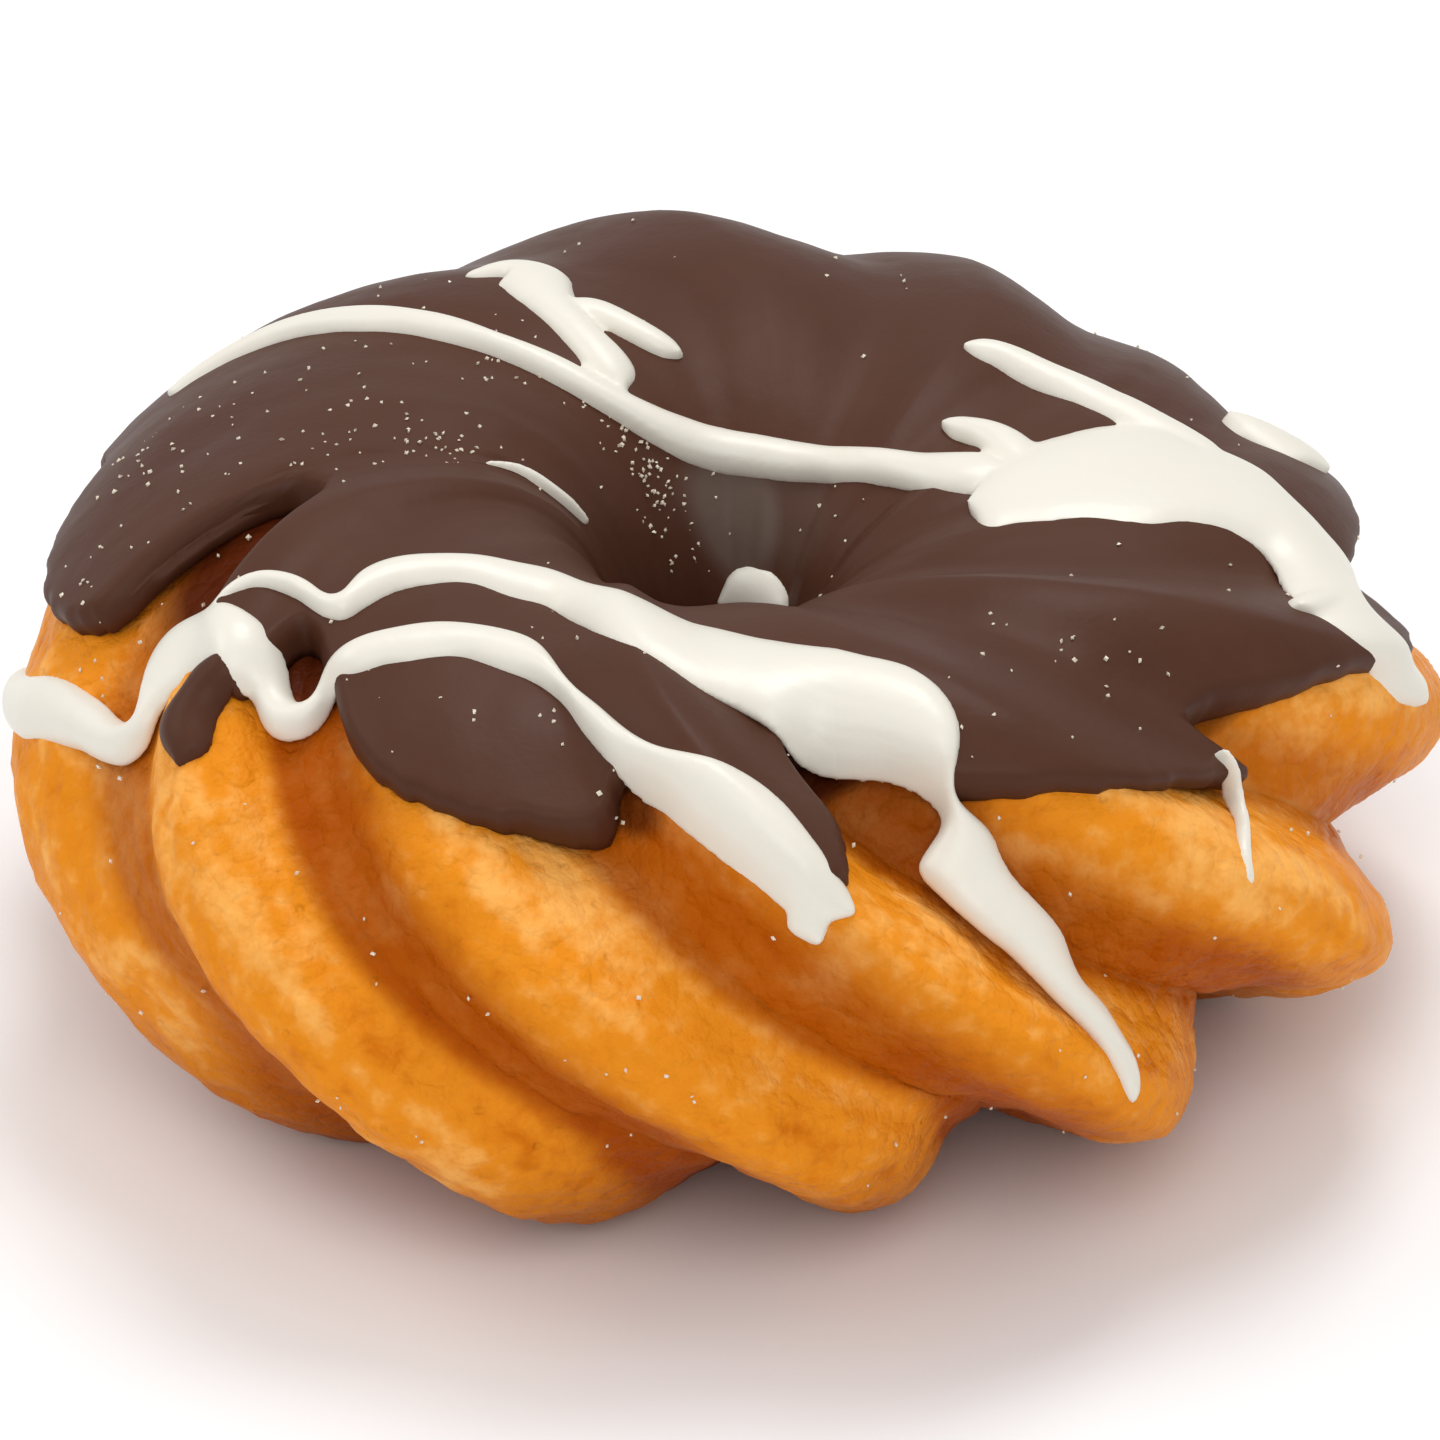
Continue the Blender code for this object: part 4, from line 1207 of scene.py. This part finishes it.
def sugar_places(look, random):
    """Lane and tube angle of each grain: patches on the chocolate, then anywhere on the choux."""
    lanes, tubes = [], []
    for lane, tube, lane_spread, tube_spread, share in SUGAR_PATCHES:
        count = round(share * look.grains)
        lanes.append(random.normal(lane, lane_spread, count))
        tubes.append(random.normal(tube, tube_spread, count))
    lanes.append(random.uniform(0.0, FLUTES, look.on_choux))
    tubes.append(random.uniform(*ON_CHOUX_TUBES_DEG, look.on_choux))
    return np.concatenate(lanes), np.concatenate(tubes)


def make_sugar(look):
    """Tiny eight-sided grains that lie on the chocolate and the choux."""
    random = np.random.default_rng(SUGAR_SEED)
    lane, tube = sugar_places(look, random)
    centres = coat_top(lane, tube, GRAIN_LIFT)
    half = look.size * random.uniform(SMALLEST_GRAIN, 1.0, len(lane))
    flat = GRAIN_SQUASH
    corners = np.array(
        [(1, 0, 0), (-1, 0, 0), (0, 1, 0), (0, -1, 0), (0, 0, flat), (0, 0, -flat)], float
    )
    turns = np.linalg.qr(random.normal(size=(len(lane), 3, 3)))[0]
    points = centres[:, None] + np.einsum("nij,kj->nki", turns, corners) * half[:, None, None]
    faces = []
    for first in range(0, 6 * len(lane), 6):
        for a, b in zip(GRAIN_RING, GRAIN_RING[1:] + GRAIN_RING[:1]):
            faces.append([first + a, first + b, first + 4])
            faces.append([first + b, first + a, first + 5])
    piece = new_piece("sugar_grains", points, faces, sugar_material(look))
    piece.data.shade_flat()
    return piece


# ------------------------------------------------ the stage

CAMERA_DISTANCE = 0.6
CAMERA_ELEVATION_DEG = 30.83
CAMERA_ROLL_DEG = -1.01
CAMERA_TARGET = (-1.05 * MM, 0.11 * MM, 17.43 * MM)
LENS_MM = 225.0
SENSOR_MM = 36.0
NEAREST_SEEN = 0.01
FLOOR_HALF_WIDTH = 3.0
LIGHT_DISTANCE = 0.7
# (azimuth, elevation, width) of each soft light
OVERHEAD_LIGHT = (73.0, 67.0, 0.34)
LEFT_LIGHT = (165.0, 45.0, 0.35)
FRONT_LIGHT = (-88.0, 44.0, 0.45)


def direction(azimuth_deg, elevation_deg):
    """Unit vector that points to an azimuth, counter-clockwise from +X, and an elevation."""
    azimuth, elevation = math.radians(azimuth_deg), math.radians(elevation_deg)
    flat = math.cos(elevation)
    return Vector((flat * math.cos(azimuth), flat * math.sin(azimuth), math.sin(elevation)))


def add_camera():
    """Looks towards +Y and down, as the picture does."""
    back = direction(-90.0, CAMERA_ELEVATION_DEG)
    camera = bpy.data.objects.new("camera", bpy.data.cameras.new("camera"))
    camera.data.sensor_width = SENSOR_MM
    camera.data.lens = LENS_MM
    camera.data.clip_start = NEAREST_SEEN
    camera.location = Vector(CAMERA_TARGET) + back * CAMERA_DISTANCE
    camera.rotation_mode = "QUATERNION"
    roll = Quaternion((0.0, 0.0, 1.0), math.radians(CAMERA_ROLL_DEG))
    camera.rotation_quaternion = (-back).to_track_quat("-Z", "Y") @ roll
    bpy.context.scene.collection.objects.link(camera)
    bpy.context.scene.camera = camera


def add_soft_light(name, azimuth_deg, elevation_deg, width, power):
    """A round soft light that faces the ring."""
    light = bpy.data.lights.new(name, "AREA")
    light.shape = "DISK"
    light.size = width
    light.energy = power
    lamp = bpy.data.objects.new(name, light)
    towards = direction(azimuth_deg, elevation_deg)
    lamp.location = Vector(CAMERA_TARGET) + towards * LIGHT_DISTANCE
    lamp.rotation_euler = (-towards).to_track_quat("-Z", "Y").to_euler()
    bpy.context.scene.collection.objects.link(lamp)


def make_stage(look):
    """Pale floor, light from all around, three soft lights and the camera."""
    corners = np.array([(-1, -1, 0), (1, -1, 0), (1, 1, 0), (-1, 1, 0)]) * FLOOR_HALF_WIDTH
    floor = new_piece("floor", corners, [(0, 1, 2, 3)], floor_material(look))
    world = bpy.data.worlds.new("studio")
    world.use_nodes = True
    background = world.node_tree.nodes["Background"]
    background.inputs["Color"].default_value = (1.0, 1.0, 1.0, 1.0)
    background.inputs["Strength"].default_value = look.surround
    bpy.context.scene.world = world
    bpy.context.scene.view_settings.view_transform = "Standard"
    add_soft_light("overhead_light", *OVERHEAD_LIGHT, look.overhead)
    add_soft_light("left_light", *LEFT_LIGHT, look.side)
    add_soft_light("front_light", *FRONT_LIGHT, look.front)
    add_camera()


# ------------------------------------------------ the add-on


class MakeChoux(bpy.types.Operator):
    """Make the fried choux ring"""

    bl_idname = "choux_ring.make_choux"
    bl_label = "Choux"

    def execute(self, context):
        piece = make_choux(context.scene.choux_look)
        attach(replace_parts(piece, "pastry_ring"), BODY)
        return {"FINISHED"}


class MakeChocolate(bpy.types.Operator):
    """Make the chocolate coat over the top of the ring, and its drip"""

    bl_idname = "choux_ring.make_chocolate"
    bl_label = "Chocolate"

    def execute(self, context):
        look = context.scene.chocolate_look
        for piece in (make_chocolate(look), make_drip(look)):
            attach(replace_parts(piece, "chocolate_glaze"), BODY)
        return {"FINISHED"}


class MakeIcing(bpy.types.Operator):
    """Pipe the white icing over the chocolate"""

    bl_idname = "choux_ring.make_icing"
    bl_label = "Icing"

    def execute(self, context):
        piece = make_icing(context.scene.icing_look)
        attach(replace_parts(piece, "chocolate_glaze"), BODY)
        return {"FINISHED"}


class MakeSugar(bpy.types.Operator):
    """Scatter the sugar grains"""

    bl_idname = "choux_ring.make_sugar"
    bl_label = "Sugar"

    def execute(self, context):
        piece = make_sugar(context.scene.sugar_look)
        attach(piece, BODY)
        return {"FINISHED"}


class MakeStage(bpy.types.Operator):
    """Make the floor, the lights and the camera"""

    bl_idname = "choux_ring.make_stage"
    bl_label = "Stage"

    def execute(self, context):
        make_stage(context.scene.stage_look)
        return {"FINISHED"}


LOOKS = {
    "choux_look": ChouxLook,
    "chocolate_look": ChocolateLook,
    "icing_look": IcingLook,
    "sugar_look": SugarLook,
    "stage_look": StageLook,
}
OPERATORS = (MakeChoux, MakeChocolate, MakeIcing, MakeSugar, MakeStage)


class ChouxRingPanel(bpy.types.Panel):
    bl_idname = "VIEW3D_PT_choux_ring"
    bl_label = "Glazed choux ring"
    bl_space_type = "VIEW_3D"
    bl_region_type = "UI"
    bl_category = "Choux ring"

    def draw(self, context):
        for (look_name, look_class), operator in zip(LOOKS.items(), OPERATORS):
            box = self.layout.box()
            for setting in look_class.__annotations__:
                box.prop(getattr(context.scene, look_name), setting)
            box.operator(operator.bl_idname)


CLASSES = (*LOOKS.values(), *OPERATORS, ChouxRingPanel)


def register():
    for each in CLASSES:
        bpy.utils.register_class(each)
    for look_name, look_class in LOOKS.items():
        setattr(bpy.types.Scene, look_name, PointerProperty(type=look_class))


def unregister():
    for look_name in LOOKS:
        delattr(bpy.types.Scene, look_name)
    for each in reversed(CLASSES):
        bpy.utils.unregister_class(each)


def main():
    """Makes every piece and the stage."""
    register()
    bpy.ops.choux_ring.make_choux()
    bpy.ops.choux_ring.make_chocolate()
    bpy.ops.choux_ring.make_icing()
    bpy.ops.choux_ring.make_sugar()
    bpy.ops.choux_ring.make_stage()


if __name__ == "__main__":
    main()
